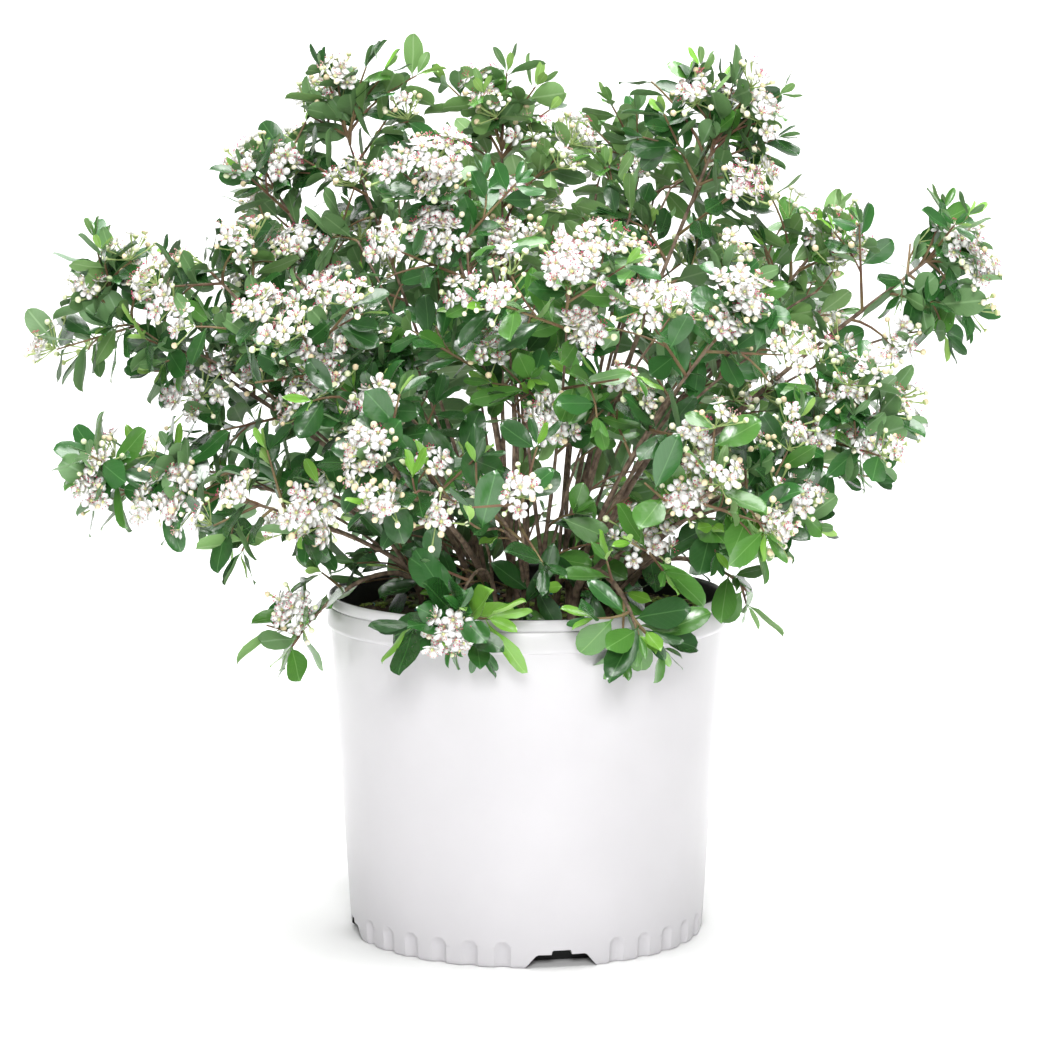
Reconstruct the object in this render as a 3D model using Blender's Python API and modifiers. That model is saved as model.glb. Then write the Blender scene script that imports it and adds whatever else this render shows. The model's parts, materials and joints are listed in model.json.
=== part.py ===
"""A chokeberry in flower in its nursery pot: pot, soil, shoots from one root and their masses of foliage."""
import math
import random

import bmesh
import bpy
import numpy as np
from mathutils import Matrix, Vector
from mathutils.bvhtree import BVHTree

# Pot, in metres: the origin is the centre of its flat underside, and -Y is the front
POT_HEIGHT = 0.241
RIM_RADIUS = 0.1403
LIP = 0.0044
COLLAR_HEIGHT = 0.023
BEAD_HEIGHT = 0.008
BEAD_INSET = 0.0018
BAND_INSET = 0.0008
NECK_RADIUS = 0.1380
BASE_RADIUS = 0.1243
BASE_ROUNDING = 0.003
WALL = 0.0022
FLOOR = 0.004
HAUNCH_HEIGHT = 0.024
HAUNCH_RADIUS = 0.088
HAUNCH_SLOPE = 0.006
POT_SIDES = 44
WELD = 0.00002

# Drain notches in the bottom edge, and the upright dents between them
NOTCHES = 4
NOTCH_TURN = math.radians(-79)
NOTCH_HEIGHT = 0.0095
NOTCH_WIDTH = 0.050
NOTCH_TOP_WIDTH = 0.033
DRAIN_WIDTH = 0.014
DRAIN_HEIGHT = 0.0125
NOTCH_DEPTH = 0.030
DENTS_PER_SIDE = 6
DENT_STEP = math.radians(10.6)
DENT_RADIUS = 0.0072
DENT_DEPTH = 0.0022
DENT_HEIGHT = 0.019
DENT_SIDES = 10
DENT_TOP = 0.62

# Soil, and the gap between pieces
SOIL_TOP = 0.227
GAP = 0.0003

# Shoots
FOOT_RING = (0.014, 0.080)
FOOT_RADIUS = 0.0036
ENTRY_RADIUS = 0.0023
TIP_RADIUS = 0.0016
FOOT_FLARE = 1.3
FOOT_SPACING = 0.0125
SWAY = 0.06
AXIS_POINTS = 13
STEM_POINTS = 4
MASS_POINTS = 5

# Foliage
LEAF_LENGTH = 0.058
LEAF_WIDTH = 0.037
LEAF_THICKNESS = 0.0014
LEAF_ROOT = 0.0006
LEAF_MIDDLE = 0.56
TWIG_RADIUS = 0.0016
TWIG_TAPER = 0.6
LONG_TWIG = 0.04
BLOSSOM_RADIUS = 0.021
BLOSSOM_HEIGHT = 0.010
BLOSSOM_SHARE = 0.55
FRONT_REACH = 0.020
STALK = 0.012
GOLDEN_ANGLE = math.radians(137.5)
UP = Vector((0, 0, 1))

# Room that a mass keeps to its neighbours, to the limbs and to the pot
SPACE_MARGIN = 0.0012
LIMB_MARGIN = 0.0016
POT_MARGIN = 0.0025
SHORTER = (1.0, 0.75, 0.5)

# Name: tip x, y and z, how upright it starts, where its foliage starts, twigs, longest twig, leaf size
SHOOTS = {
    "left_arm": (-0.298, 0.000, 0.446, 0.75, 0.40, 8, 0.066, 1.05),
    "left_low": (-0.285, -0.060, 0.332, 0.70, 0.46, 6, 0.055, 1.0),
    "left_under": (-0.182, -0.120, 0.318, 0.62, 0.54, 4, 0.045, 0.9),
    "left_shoulder": (-0.215, -0.055, 0.468, 0.78, 0.44, 5, 0.060, 1.0),
    "left_upper": (-0.184, 0.030, 0.535, 0.80, 0.42, 7, 0.065, 1.05),
    "top_left": (-0.130, 0.040, 0.570, 0.90, 0.46, 7, 0.065, 1.05),
    "top": (-0.018, 0.060, 0.560, 0.95, 0.46, 7, 0.070, 1.05),
    "top_mid_right": (0.082, 0.080, 0.542, 0.95, 0.46, 6, 0.068, 1.05),
    "top_right": (0.134, -0.020, 0.566, 0.85, 0.52, 8, 0.062, 1.05),
    "right_upper": (0.210, 0.030, 0.488, 0.80, 0.44, 7, 0.062, 1.05),
    "right_arm": (0.286, -0.020, 0.482, 0.70, 0.48, 8, 0.064, 1.0),
    "right_mid": (0.238, -0.060, 0.368, 0.70, 0.46, 8, 0.062, 1.0),
    "right_low": (0.162, -0.125, 0.322, 0.60, 0.50, 5, 0.048, 0.95),
    "rim_left": (-0.157, -0.076, 0.218, 1.00, 0.62, 3, 0.030, 0.8),
    "rim_front": (-0.047, -0.170, 0.243, 1.00, 0.62, 3, 0.034, 0.85),
    "rim_front_right": (0.072, -0.162, 0.240, 1.00, 0.62, 3, 0.034, 0.85),
    "rim_right": (0.150, -0.058, 0.250, 1.00, 0.62, 3, 0.030, 0.8),
    "front_left": (-0.143, -0.165, 0.428, 0.80, 0.40, 6, 0.065, 1.0),
    "front_left_low": (-0.095, -0.205, 0.358, 0.75, 0.44, 5, 0.058, 1.0),
    "front_top": (-0.052, -0.115, 0.515, 0.90, 0.42, 7, 0.065, 1.0),
    "front_centre": (0.026, -0.165, 0.462, 0.85, 0.40, 6, 0.068, 1.0),
    "front_right": (0.135, -0.155, 0.443, 0.80, 0.42, 6, 0.065, 1.0),
    "front_right_low": (0.122, -0.188, 0.335, 0.75, 0.44, 5, 0.055, 1.0),
    "front_low": (-0.005, -0.215, 0.330, 0.75, 0.46, 4, 0.055, 1.0),
    "back_left": (-0.165, 0.180, 0.455, 0.80, 0.40, 6, 0.075, 1.1),
    "back_top": (-0.010, 0.190, 0.505, 0.85, 0.40, 7, 0.075, 1.1),
    "back_right": (0.165, 0.180, 0.445, 0.80, 0.40, 6, 0.075, 1.1),
    "back_left_low": (-0.120, 0.215, 0.325, 0.75, 0.42, 5, 0.070, 1.1),
    "back_right_low": (0.128, 0.210, 0.330, 0.75, 0.42, 6, 0.070, 1.1),
}


# Flower clusters that stand out in front: how far up its shoot each leaves, and the cluster's x and z
FRONT_CLUSTERS = {
    "left_arm": ((0.93, -0.305, 0.455), (0.90, -0.260, 0.470), (0.65, -0.235, 0.375)),
    "left_low": ((0.95, -0.292, 0.355), (0.78, -0.256, 0.305), (0.72, -0.240, 0.330)),
    "left_shoulder": ((0.95, -0.195, 0.492), (0.80, -0.172, 0.448)),
    "left_upper": ((0.93, -0.168, 0.545), (0.93, -0.203, 0.540), (0.72, -0.164, 0.485), (0.62, -0.150, 0.450)),
    "top_left": ((0.95, -0.133, 0.605),),
    "top": ((0.95, -0.036, 0.600), (0.93, 0.013, 0.562), (0.75, -0.005, 0.520), (0.65, -0.019, 0.490)),
    "top_mid_right": ((0.93, 0.080, 0.540),),
    "top_right": ((0.95, 0.111, 0.590), (0.95, 0.162, 0.600), (0.95, 0.166, 0.573), (0.85, 0.166, 0.533)),
    "right_upper": ((0.93, 0.208, 0.497), (0.95, 0.229, 0.472)),
    "right_arm": ((0.95, 0.303, 0.490), (0.95, 0.315, 0.454), (0.75, 0.261, 0.410)),
    "right_mid": ((0.95, 0.215, 0.392), (0.78, 0.203, 0.354), (0.90, 0.236, 0.345)),
    "right_low": ((0.95, 0.187, 0.316), (0.95, 0.167, 0.290)),
    "rim_left": ((0.85, -0.164, 0.241),),
    "rim_front": ((0.93, -0.050, 0.236),),
    "front_left": ((0.88, -0.134, 0.424), (0.57, -0.097, 0.380), (0.80, -0.147, 0.400)),
    "front_left_low": ((0.93, -0.112, 0.351), (0.70, -0.062, 0.353)),
    "front_top": ((0.95, -0.063, 0.555), (0.85, -0.064, 0.496)),
    "front_centre": ((0.93, 0.031, 0.482), (0.78, 0.041, 0.436)),
    "front_right": ((0.95, 0.144, 0.466), (0.90, 0.135, 0.440)),
    "front_right_low": ((0.47, 0.082, 0.294), (0.72, 0.106, 0.323)),
}


# Scene, collections and materials

def clear_scene():
    for obj in list(bpy.data.objects):
        bpy.data.objects.remove(obj, do_unlink=True)


def new_collection(name, shown=True):
    collection = bpy.data.collections.new(name)
    collection.hide_render = not shown
    bpy.context.scene.collection.children.link(collection)
    return collection


def new_material(name, colour, roughness):
    material = bpy.data.materials.new(name)
    material.use_nodes = True
    shader = material.node_tree.nodes["Principled BSDF"]
    shader.inputs["Base Color"].default_value = (*colour, 1.0)
    shader.inputs["Roughness"].default_value = roughness
    shader.inputs["Metallic"].default_value = 0.0
    return material


def new_object(name, mesh, collection, material):
    obj = bpy.data.objects.new(name, mesh)
    if material and not mesh.materials:
        mesh.materials.append(material)
    collection.objects.link(obj)
    return obj


def mesh_from(name, build):
    """A new mesh filled by build(bm)."""
    bm = bmesh.new()
    build(bm)
    bmesh.ops.recalc_face_normals(bm, faces=bm.faces)
    mesh = bpy.data.meshes.new(name)
    bm.to_mesh(mesh)
    bm.free()
    return mesh


def plain_mesh(obj):
    """The evaluated object's mesh in world space."""
    graph = bpy.context.evaluated_depsgraph_get()
    mesh = bpy.data.meshes.new_from_object(obj.evaluated_get(graph))
    mesh.transform(obj.matrix_world)
    return mesh


def capped_mesh(obj):
    """A curve's mesh in world space, with its loose caps welded on."""
    mesh = plain_mesh(obj)
    bm = bmesh.new()
    bm.from_mesh(mesh)
    bmesh.ops.remove_doubles(bm, verts=bm.verts, dist=1e-6)
    bmesh.ops.recalc_face_normals(bm, faces=bm.faces)
    bm.to_mesh(mesh)
    bm.free()
    return mesh


def add_boolean(obj, operation, other=None, others=None, solver="EXACT"):
    modifier = obj.modifiers.new(operation.title(), "BOOLEAN")
    modifier.operation = operation
    modifier.solver = solver
    if others:
        modifier.operand_type = "COLLECTION"
        modifier.collection = others
    else:
        modifier.object = other
    return modifier


# Turned pieces

def turned(name, profile, collection, material):
    """A solid of revolution about Z. The profile runs down its outer side, top to bottom."""
    mesh = bpy.data.meshes.new(name)
    points = [(radius, 0.0, height) for radius, height in profile]
    mesh.from_pydata(points, [(i, i + 1) for i in range(len(points) - 1)], [])
    obj = new_object(name, mesh, collection, material)
    screw = obj.modifiers.new("Turn", "SCREW")
    screw.steps = POT_SIDES
    screw.render_steps = POT_SIDES
    screw.use_merge_vertices = True
    screw.merge_threshold = WELD
    return obj


def wall_radius(height):
    """Outer radius of the pot's body, which tapers from the collar down to the base."""
    share = height / (POT_HEIGHT - COLLAR_HEIGHT)
    return BASE_RADIUS + (NECK_RADIUS - BASE_RADIUS) * share


def inner_profile(clearance):
    """Inside of the pot from the floor's centre up to the soil's top, drawn in by a clearance."""
    floor = FLOOR + clearance
    haunch = HAUNCH_HEIGHT + clearance
    return [
        (0.0, floor),
        (HAUNCH_RADIUS - clearance, floor),
        (HAUNCH_RADIUS + HAUNCH_SLOPE - clearance, haunch),
        (wall_radius(haunch) - WALL - clearance, haunch),
        (wall_radius(SOIL_TOP) - WALL - clearance, SOIL_TOP),
    ]


def make_pot(collection, cutters, material):
    collar = POT_HEIGHT - COLLAR_HEIGHT
    bead = POT_HEIGHT - BEAD_HEIGHT
    edge = BEAD_HEIGHT / 4
    profile = inner_profile(0.0) + [
        (RIM_RADIUS - LIP, POT_HEIGHT - edge * 0.75),
        (RIM_RADIUS - LIP * 0.6, POT_HEIGHT),
        (RIM_RADIUS - BAND_INSET, POT_HEIGHT - edge),
        (RIM_RADIUS - BAND_INSET, bead + edge),
        (RIM_RADIUS - BEAD_INSET, bead),
        (RIM_RADIUS, collar + 0.003),
        (RIM_RADIUS - 0.0005, collar + 0.0004),
        (NECK_RADIUS, collar),
        (BASE_RADIUS + 0.0002, BASE_ROUNDING),
        (BASE_RADIUS - BASE_ROUNDING * 0.3, BASE_ROUNDING * 0.3),
        (BASE_RADIUS - BASE_ROUNDING, 0.0),
        (0.0, 0.0),
    ]
    pot = turned("pot", profile, collection, material)
    step = 2 * math.pi / NOTCHES
    for side in range(NOTCHES):
        notch_angle = NOTCH_TURN + side * step
        make_notch_cutter(f"notch_cutter_{side}", notch_angle, cutters)
        for dent in range(DENTS_PER_SIDE):
            offset = (dent - (DENTS_PER_SIDE - 1) / 2) * DENT_STEP
            make_dent_cutter(f"dent_cutter_{side}_{dent}", notch_angle + step / 2 + offset, cutters)
    add_boolean(pot, "DIFFERENCE", others=cutters)
    mesh = plain_mesh(pot)
    pot.modifiers.clear()
    pot.data = mesh
    mesh.shade_smooth()
    mesh.set_sharp_from_angle(angle=math.radians(32))
    return pot


def helper(obj):
    obj.hide_render = True
    obj.display_type = "WIRE"
    return obj


def make_notch_cutter(name, angle, cutters):
    """A trapezoid with the small drain opening on top, run through the wall along its radius."""
    low = -0.004
    spread = NOTCH_WIDTH / 2 + (NOTCH_WIDTH - NOTCH_TOP_WIDTH) / 2 * -low / NOTCH_HEIGHT
    right = [
        (spread, low),
        (NOTCH_TOP_WIDTH / 2, NOTCH_HEIGHT),
        (DRAIN_WIDTH / 2, NOTCH_HEIGHT),
        (DRAIN_WIDTH / 2, DRAIN_HEIGHT),
    ]
    outline = right + [(-x, z) for x, z in reversed(right)]
    curve = bpy.data.curves.new(name, "CURVE")
    curve.dimensions = "2D"
    curve.fill_mode = "BOTH"
    curve.extrude = NOTCH_DEPTH / 2
    spline = curve.splines.new("POLY")
    spline.points.add(len(outline) - 1)
    for point, (x, z) in zip(spline.points, outline):
        point.co = (x, z, 0.0, 1.0)
    spline.use_cyclic_u = True
    guide = bpy.data.objects.new(name, curve)
    cutters.objects.link(guide)
    radius = BASE_RADIUS - NOTCH_DEPTH / 2 + 0.006
    upright = Matrix.Rotation(math.pi / 2, 4, "X")
    turn = Matrix.Rotation(angle + math.pi / 2, 4, "Z")
    guide.matrix_world = turn @ Matrix.Translation((0.0, -radius, 0.0)) @ upright
    bpy.context.view_layer.update()
    mesh = capped_mesh(guide)
    bpy.data.objects.remove(guide)
    return helper(new_object(name, mesh, cutters, None))


def make_dent_cutter(name, angle, cutters):
    """An upright round-topped post whose inner side dents the wall."""
    def build(bm):
        bmesh.ops.create_cone(
            bm, cap_ends=True, segments=DENT_SIDES, radius1=DENT_RADIUS, radius2=DENT_RADIUS, depth=DENT_HEIGHT
        )
        top = [v for v in bm.verts if v.co.z > 0]
        inset = bmesh.ops.extrude_face_region(bm, geom=[f for f in bm.faces if f.normal.z > 0.9])
        raised = [v for v in inset["geom"] if isinstance(v, bmesh.types.BMVert)]
        for vert in raised:
            vert.co.x *= DENT_TOP
            vert.co.y *= DENT_TOP
            vert.co.z += DENT_RADIUS * 0.5
        bmesh.ops.delete(bm, geom=[f for f in bm.faces if all(v in top for v in f.verts)], context="FACES")
        bmesh.ops.translate(bm, verts=bm.verts, vec=(0, 0, DENT_HEIGHT / 2 - DENT_RADIUS * 0.5 - 0.002))
    mesh = mesh_from(name, build)
    post = helper(new_object(name, mesh, cutters, None))
    radius = BASE_RADIUS + 0.0008 + DENT_RADIUS - DENT_DEPTH
    post.location = (radius * math.cos(angle), radius * math.sin(angle), 0.0)
    post.rotation_euler.z = angle
    return post


def make_soil(collection, material):
    profile = inner_profile(GAP)
    profile = [(0.0, SOIL_TOP)] + list(reversed(profile))
    return turned("soil", profile, collection, material)


# Shoots

def shoot_feet():
    """Where each shoot leaves the soil: towards its tip, farther out the lower it leans, then spread apart."""
    feet = {}
    for name, (x, y, z, *_) in SHOOTS.items():
        reach = math.hypot(x, y)
        steepness = math.atan2(max(z - SOIL_TOP, 0.0), reach) / (math.pi / 2)
        radius = FOOT_RING[1] + (FOOT_RING[0] - FOOT_RING[1]) * steepness
        feet[name] = Vector((x, y)) / reach * radius
    names = list(feet)
    for _ in range(60):
        for index, first in enumerate(names):
            for second in names[index + 1:]:
                apart = feet[second] - feet[first]
                missing = FOOT_SPACING - apart.length
                if missing > 0:
                    push = apart.normalized() * missing / 2
                    feet[first] -= push
                    feet[second] += push
    return feet


def shoot_axis(foot, name):
    """Points from the foot to the tip, along a curve that starts more upright than it ends and sways a little."""
    x, y, z, upright, *_ = SHOOTS[name]
    rng = random.Random(name + " axis")
    start = Vector((foot.x, foot.y, SOIL_TOP))
    tip = Vector((x, y, z))
    span = tip - start
    reach = span.length
    across = Vector((-span.y, span.x, 0)).normalized()
    rising = (span.normalized().lerp(UP, upright)).normalized()
    droops = upright == 1.0
    first = start + rising * reach * (0.62 if droops else 0.30)
    last = start.lerp(tip, 0.72) + UP * reach * (0.36 if droops else 0.04)
    first += across * reach * rng.uniform(-SWAY, SWAY)
    last += across * reach * rng.uniform(-SWAY, SWAY)
    points = []
    for index in range(AXIS_POINTS):
        t = index / (AXIS_POINTS - 1)
        s = 1 - t
        points.append(start * s ** 3 + first * 3 * s * s * t + last * 3 * s * t * t + tip * t ** 3)
    return points


def point_along(points, share):
    place = min(max(share, 0.0), 1.0) * (len(points) - 1)
    index = min(int(place), len(points) - 2)
    return points[index].lerp(points[index + 1], place - index)


def direction_along(points, share):
    return (point_along(points, share + 0.08) - point_along(points, share - 0.08)).normalized()


def part_of(points, start, end, count):
    return [point_along(points, start + (end - start) * i / (count - 1)) for i in range(count)]


def clearance_step(stem, foliage):
    """How far a mass's stem starts beyond its limb's tip, so that their tilted ends stay a gap apart."""
    before = stem[-1] - stem[-2]
    after = foliage[1] - foliage[0]
    return after.normalized() * (GAP + ENTRY_RADIUS * math.tan(before.angle(after) / 2) * 1.1)


def tube(name, points, radii, sides, collection, material):
    """A tapering tube along the points, closed at both ends."""
    curve = bpy.data.curves.new(name, "CURVE")
    curve.dimensions = "3D"
    curve.bevel_depth = 1.0
    curve.bevel_resolution = sides
    curve.use_fill_caps = True
    spline = curve.splines.new("POLY")
    spline.points.add(len(points) - 1)
    for target, point, radius in zip(spline.points, points, radii):
        target.co = (*point, 1.0)
        target.radius = radius
    guide = bpy.data.objects.new(name, curve)
    collection.objects.link(guide)
    bpy.context.view_layer.update()
    mesh = capped_mesh(guide)
    bpy.data.objects.remove(guide)
    mesh.shade_smooth()
    mesh.set_sharp_from_angle(angle=math.radians(50))
    return new_object(name, mesh, collection, material)


def make_stem(name, points, collection, ground, material):
    """One tapering limb from a flat cut on the soil to where its foliage starts."""
    count = len(points)
    radii = [FOOT_RADIUS + (ENTRY_RADIUS - FOOT_RADIUS) * i / (count - 1) for i in range(count)]
    below = points[0] - (points[1] - points[0]).normalized() * 0.010
    flare = points[0].lerp(points[1], 0.2)
    points = [below, points[0], flare] + points[1:]
    radii = [radii[0] * FOOT_FLARE, radii[0] * FOOT_FLARE, radii[0]] + radii[1:]
    stem = tube("stem_" + name, points, radii, 1, collection, material)
    add_boolean(stem, "DIFFERENCE", other=ground)
    stem.data = plain_mesh(stem)
    stem.modifiers.clear()
    return stem


# Foliage

def leaf_mesh(material):
    """A leaf of unit size along +Y from its root, broadest past the middle."""
    def build(bm):
        bmesh.ops.create_uvsphere(bm, u_segments=4, v_segments=2, radius=0.5)
        bmesh.ops.rotate(bm, verts=bm.verts, matrix=Matrix.Rotation(math.pi / 2, 3, "X"))
        for vert in bm.verts:
            vert.co.y += 0.5
            if 0.4 < vert.co.y < 0.6:
                vert.co.y = LEAF_MIDDLE
    mesh = mesh_from("leaf", build)
    mesh.materials.append(material)
    return mesh


def blossom_mesh(material):
    """A flat-topped cluster of unit radius, seen as one low dome."""
    mesh = mesh_from("blossom", lambda bm: bmesh.ops.create_uvsphere(bm, u_segments=6, v_segments=2, radius=1.0))
    mesh.materials.append(material)
    return mesh


def twig_mesh(material):
    """A three-sided twig of unit length along +Y."""
    def build(bm):
        bmesh.ops.create_cone(bm, cap_ends=True, segments=3, radius1=1.0, radius2=TWIG_TAPER, depth=1.0)
        bmesh.ops.translate(bm, verts=bm.verts, vec=(0, 0, 0.5))
        bmesh.ops.rotate(bm, verts=bm.verts, matrix=Matrix.Rotation(-math.pi / 2, 3, "X"))
    mesh = mesh_from("twig", build)
    mesh.materials.append(material)
    return mesh


def placed(origin, heading, face, scale):
    """A matrix that lays +Y along the heading and +Z towards the face."""
    y = heading.normalized()
    x = y.cross(face).normalized()
    z = x.cross(y)
    turn = Matrix((x, y, z)).transposed().to_4x4()
    return Matrix.Translation(origin) @ turn @ Matrix.Diagonal((*scale, 1.0))


class Space:
    """Tells whether a shape keeps to the room of its own mass, clear of the limbs and of the pot."""

    def __init__(self, axes):
        self.names = list(axes)
        starts, ends, owners = [], [], []
        for index, name in enumerate(self.names):
            for start, end in zip(axes[name], axes[name][1:]):
                starts.append(start)
                ends.append(end)
                owners.append(index)
        self.starts = np.array(starts)
        self.spans = np.array(ends) - self.starts
        self.owners = np.array(owners)
        self.limbs = []

    def add_limb(self, points, radii):
        self.limbs.append(limb_shell(points, [radius + LIMB_MARGIN for radius in radii]))

    def margins(self, points, owner):
        """For each point, how much nearer it lies to its own mass's axis than to the next one."""
        offset = points[:, None, :] - self.starts[None]
        along = (offset * self.spans).sum(2) / (self.spans ** 2).sum(1)
        nearest = offset - np.clip(along, 0, 1)[..., None] * self.spans
        distance = np.linalg.norm(nearest, axis=2)
        own = self.owners == owner
        return distance[:, ~own].min(1) - distance[:, own].min(1)

    def shape_of(self, mesh, matrix, name):
        """The placed shape as a tree for overlap tests, or None where it would leave its room."""
        corners = [matrix @ vert.co for vert in mesh.vertices]
        edges = [(corners[a] + corners[b]) / 2 for a, b in mesh.edge_keys]
        points = np.array(corners + edges)
        if self.margins(points, self.names.index(name)).min() < 2 * SPACE_MARGIN:
            return None
        if not clear_of_pot(points):
            return None
        shape = BVHTree.FromPolygons(corners, [tuple(face.vertices) for face in mesh.polygons])
        if any(limb.overlap(shape) for limb in self.limbs):
            return None
        return shape


def limb_shell(points, radii):
    """A six-sided shell round a limb, to test against."""
    verts, faces = [], []
    for index, (point, radius) in enumerate(zip(points, radii)):
        after = points[min(index + 1, len(points) - 1)]
        before = points[max(index - 1, 0)]
        along = (after - before).normalized()
        side = along.orthogonal().normalized()
        other = along.cross(side)
        for step in range(6):
            angle = math.pi / 3 * step
            verts.append(point + (side * math.cos(angle) + other * math.sin(angle)) * radius * 1.15)
        if index:
            low = len(verts) - 12
            for step in range(6):
                after_step = (step + 1) % 6
                faces.append((low + step, low + after_step, low + 6 + after_step, low + 6 + step))
    return BVHTree.FromPolygons(verts, faces)


def clear_of_pot(points):
    """True for points that stay outside the wall, above the rim or above the soil within it."""
    radius = np.hypot(points[:, 0], points[:, 1])
    height = points[:, 2]
    outside = radius > RIM_RADIUS + POT_MARGIN
    above = height > POT_HEIGHT + POT_MARGIN
    within = (radius < wall_radius(SOIL_TOP) - WALL - 0.004) & (height > SOIL_TOP + 0.003)
    return bool((outside | above | within).all()) and bool((height > 0.15).all())


def twig_ways(name, points):
    """Start, heading and length of each side twig of a mass, and whether it ends in blossom."""
    twigs, longest = SHOOTS[name][5:7]
    rng = random.Random(name + " twigs")
    turn = rng.uniform(0, 2 * math.pi)
    ways = []
    for index in range(twigs):
        share = 0.12 + 0.80 * index / (twigs - 1)
        start = point_along(points, share)
        along = direction_along(points, share)
        around = Matrix.Rotation(turn + index * GOLDEN_ANGLE, 3, along) @ along.orthogonal().normalized()
        heading = (along * 0.6 + around + UP * 0.2).normalized()
        length = longest * (0.55 + 0.45 * math.sin(math.pi * (0.15 + 0.75 * share))) * rng.uniform(0.9, 1.1)
        ways.append((start, heading, length, rng.random() < BLOSSOM_SHARE))
    return ways


def front_ways(name, points):
    """Start and end of each side twig that carries a cluster out to the front."""
    entry = SHOOTS[name][4]
    ways = []
    for share, x, z in FRONT_CLUSTERS.get(name, ()):
        start = point_along(points, (share - entry) / (1 - entry))
        cluster = Vector((x, start.y - FRONT_REACH, z))
        ways.append((start, cluster - (cluster - start).normalized() * STALK))
    return ways


class Mass:
    """One mass of foliage: its stem, and the twigs, leaves and blossom that are to be joined to it."""

    def __init__(self, name, points, space, meshes, collection, bark):
        self.name = name
        self.leaf_size = SHOOTS[name][7]
        self.space = space
        self.meshes = meshes
        self.rng = random.Random(name)
        self.points = points
        last = len(points) - 1
        radii = [ENTRY_RADIUS + (TIP_RADIUS - ENTRY_RADIUS) * i / last for i in range(last + 1)]
        self.mass = tube("foliage_" + name, points, radii, 0, collection, bark)
        self.stem = limb_shell(points, radii)
        self.taken = [self.stem]
        self.pieces = bpy.data.collections.new("pieces_" + name)
        bpy.context.scene.collection.children.link(self.pieces)

    def put(self, kind, matrix, parent):
        """Places a piece that grows from the parent shape and crosses no other; returns its shape."""
        shape = self.space.shape_of(self.meshes[kind], matrix, self.name)
        if shape is None or any(other.overlap(shape) for other in self.taken if other is not parent):
            return None
        piece = bpy.data.objects.new(kind, self.meshes[kind])
        piece.matrix_world = matrix
        self.pieces.objects.link(piece)
        self.taken.append(shape)
        return shape

    def leaf(self, origin, along, roll, size, parent):
        """A leaf that leaves its twig at a slant, in the first free direction from the roll on."""
        side = along.orthogonal().normalized()
        outward = Vector((origin.x, origin.y, 0)).normalized()
        for turn in (0, 0.5, -0.5, 1.1, -1.1, 1.8, -1.8):
            around = Matrix.Rotation(roll + turn, 3, along)
            heading = (along * 0.8 + around @ side + UP * 0.1).normalized()
            scatter = Vector([self.rng.uniform(-1, 1) for _ in range(3)])
            face = UP * 0.6 + outward * 0.4 + scatter
            length = LEAF_LENGTH * self.leaf_size * size * self.rng.uniform(0.9, 1.1)
            width = LEAF_WIDTH * self.leaf_size * size * self.rng.uniform(0.9, 1.1)
            start = origin - heading * LEAF_ROOT
            for share in SHORTER[:2]:
                matrix = placed(start, heading, face, (width * share, length * share, LEAF_THICKNESS))
                if self.put("leaf", matrix, parent):
                    return

    def cluster(self, tip, heading, lean, parent):
        """A flat-topped flower cluster over a twig's end, smaller where its room is short."""
        size = BLOSSOM_RADIUS * self.rng.uniform(0.85, 1.1)
        middle = tip + lean * BLOSSOM_HEIGHT * 0.4
        for share in SHORTER:
            scale = (size * share, size * share, BLOSSOM_HEIGHT)
            if self.put("blossom", placed(middle, heading, lean, scale), parent):
                return

    def spray(self, start, heading, length, blossom, leaves):
        """A twig with its leaves, and blossom over its end. Shorter if its room is short."""
        for share in SHORTER:
            reach = length * share
            matrix = placed(start, heading, UP, (TWIG_RADIUS, reach, TWIG_RADIUS))
            twig = self.put("twig", matrix, self.stem)
            if twig:
                break
        else:
            return
        if blossom:
            self.cluster(start + heading * reach, heading, (UP + heading * 0.8).normalized(), twig)
        roll = self.rng.uniform(0, 2 * math.pi)
        for index, place in enumerate(leaves):
            size = 0.9 + 0.1 * index
            self.leaf(start + heading * reach * place, heading, roll + index * GOLDEN_ANGLE, size, twig)

    def grow(self):
        """Blossom and leaves at the tip, the twigs to the front, then the others from the tip down."""
        tip = self.points[-1]
        along = (tip - self.points[-2]).normalized()
        self.cluster(tip, along.orthogonal(), along, self.stem)
        turn = self.rng.uniform(0, 2 * math.pi)
        for index in range(3):
            self.leaf(tip - along * (0.004 + 0.005 * index), along, turn + index * 2.1, 1.0, self.stem)
        for start, end in front_ways(self.name, self.points):
            self.spray(start, (end - start).normalized(), (end - start).length, True, (0.6,))
        ways = twig_ways(self.name, self.points)
        for index, (start, heading, length, blossom) in reversed(list(enumerate(ways))):
            self.spray(start, heading, length, blossom, (0.35, 0.62, 0.85) if length > LONG_TWIG else (0.45, 0.8))
            if index % 2:
                self.leaf(start, along, turn - index * GOLDEN_ANGLE, 1.0, self.stem)
        join(self.mass, self.pieces)


def join(mass, pieces):
    """Fuses the pieces to the mass's stem and keeps the one outer shell."""
    modifier = add_boolean(mass, "UNION", others=pieces, solver="MANIFOLD")
    modifier.name = "Join"
    mesh = plain_mesh(mass)
    mass.modifiers.clear()
    mass.data = mesh
    for piece in list(pieces.objects):
        bpy.data.objects.remove(piece)
    bpy.data.collections.remove(pieces)
    keep_largest_shell(mesh)


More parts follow.
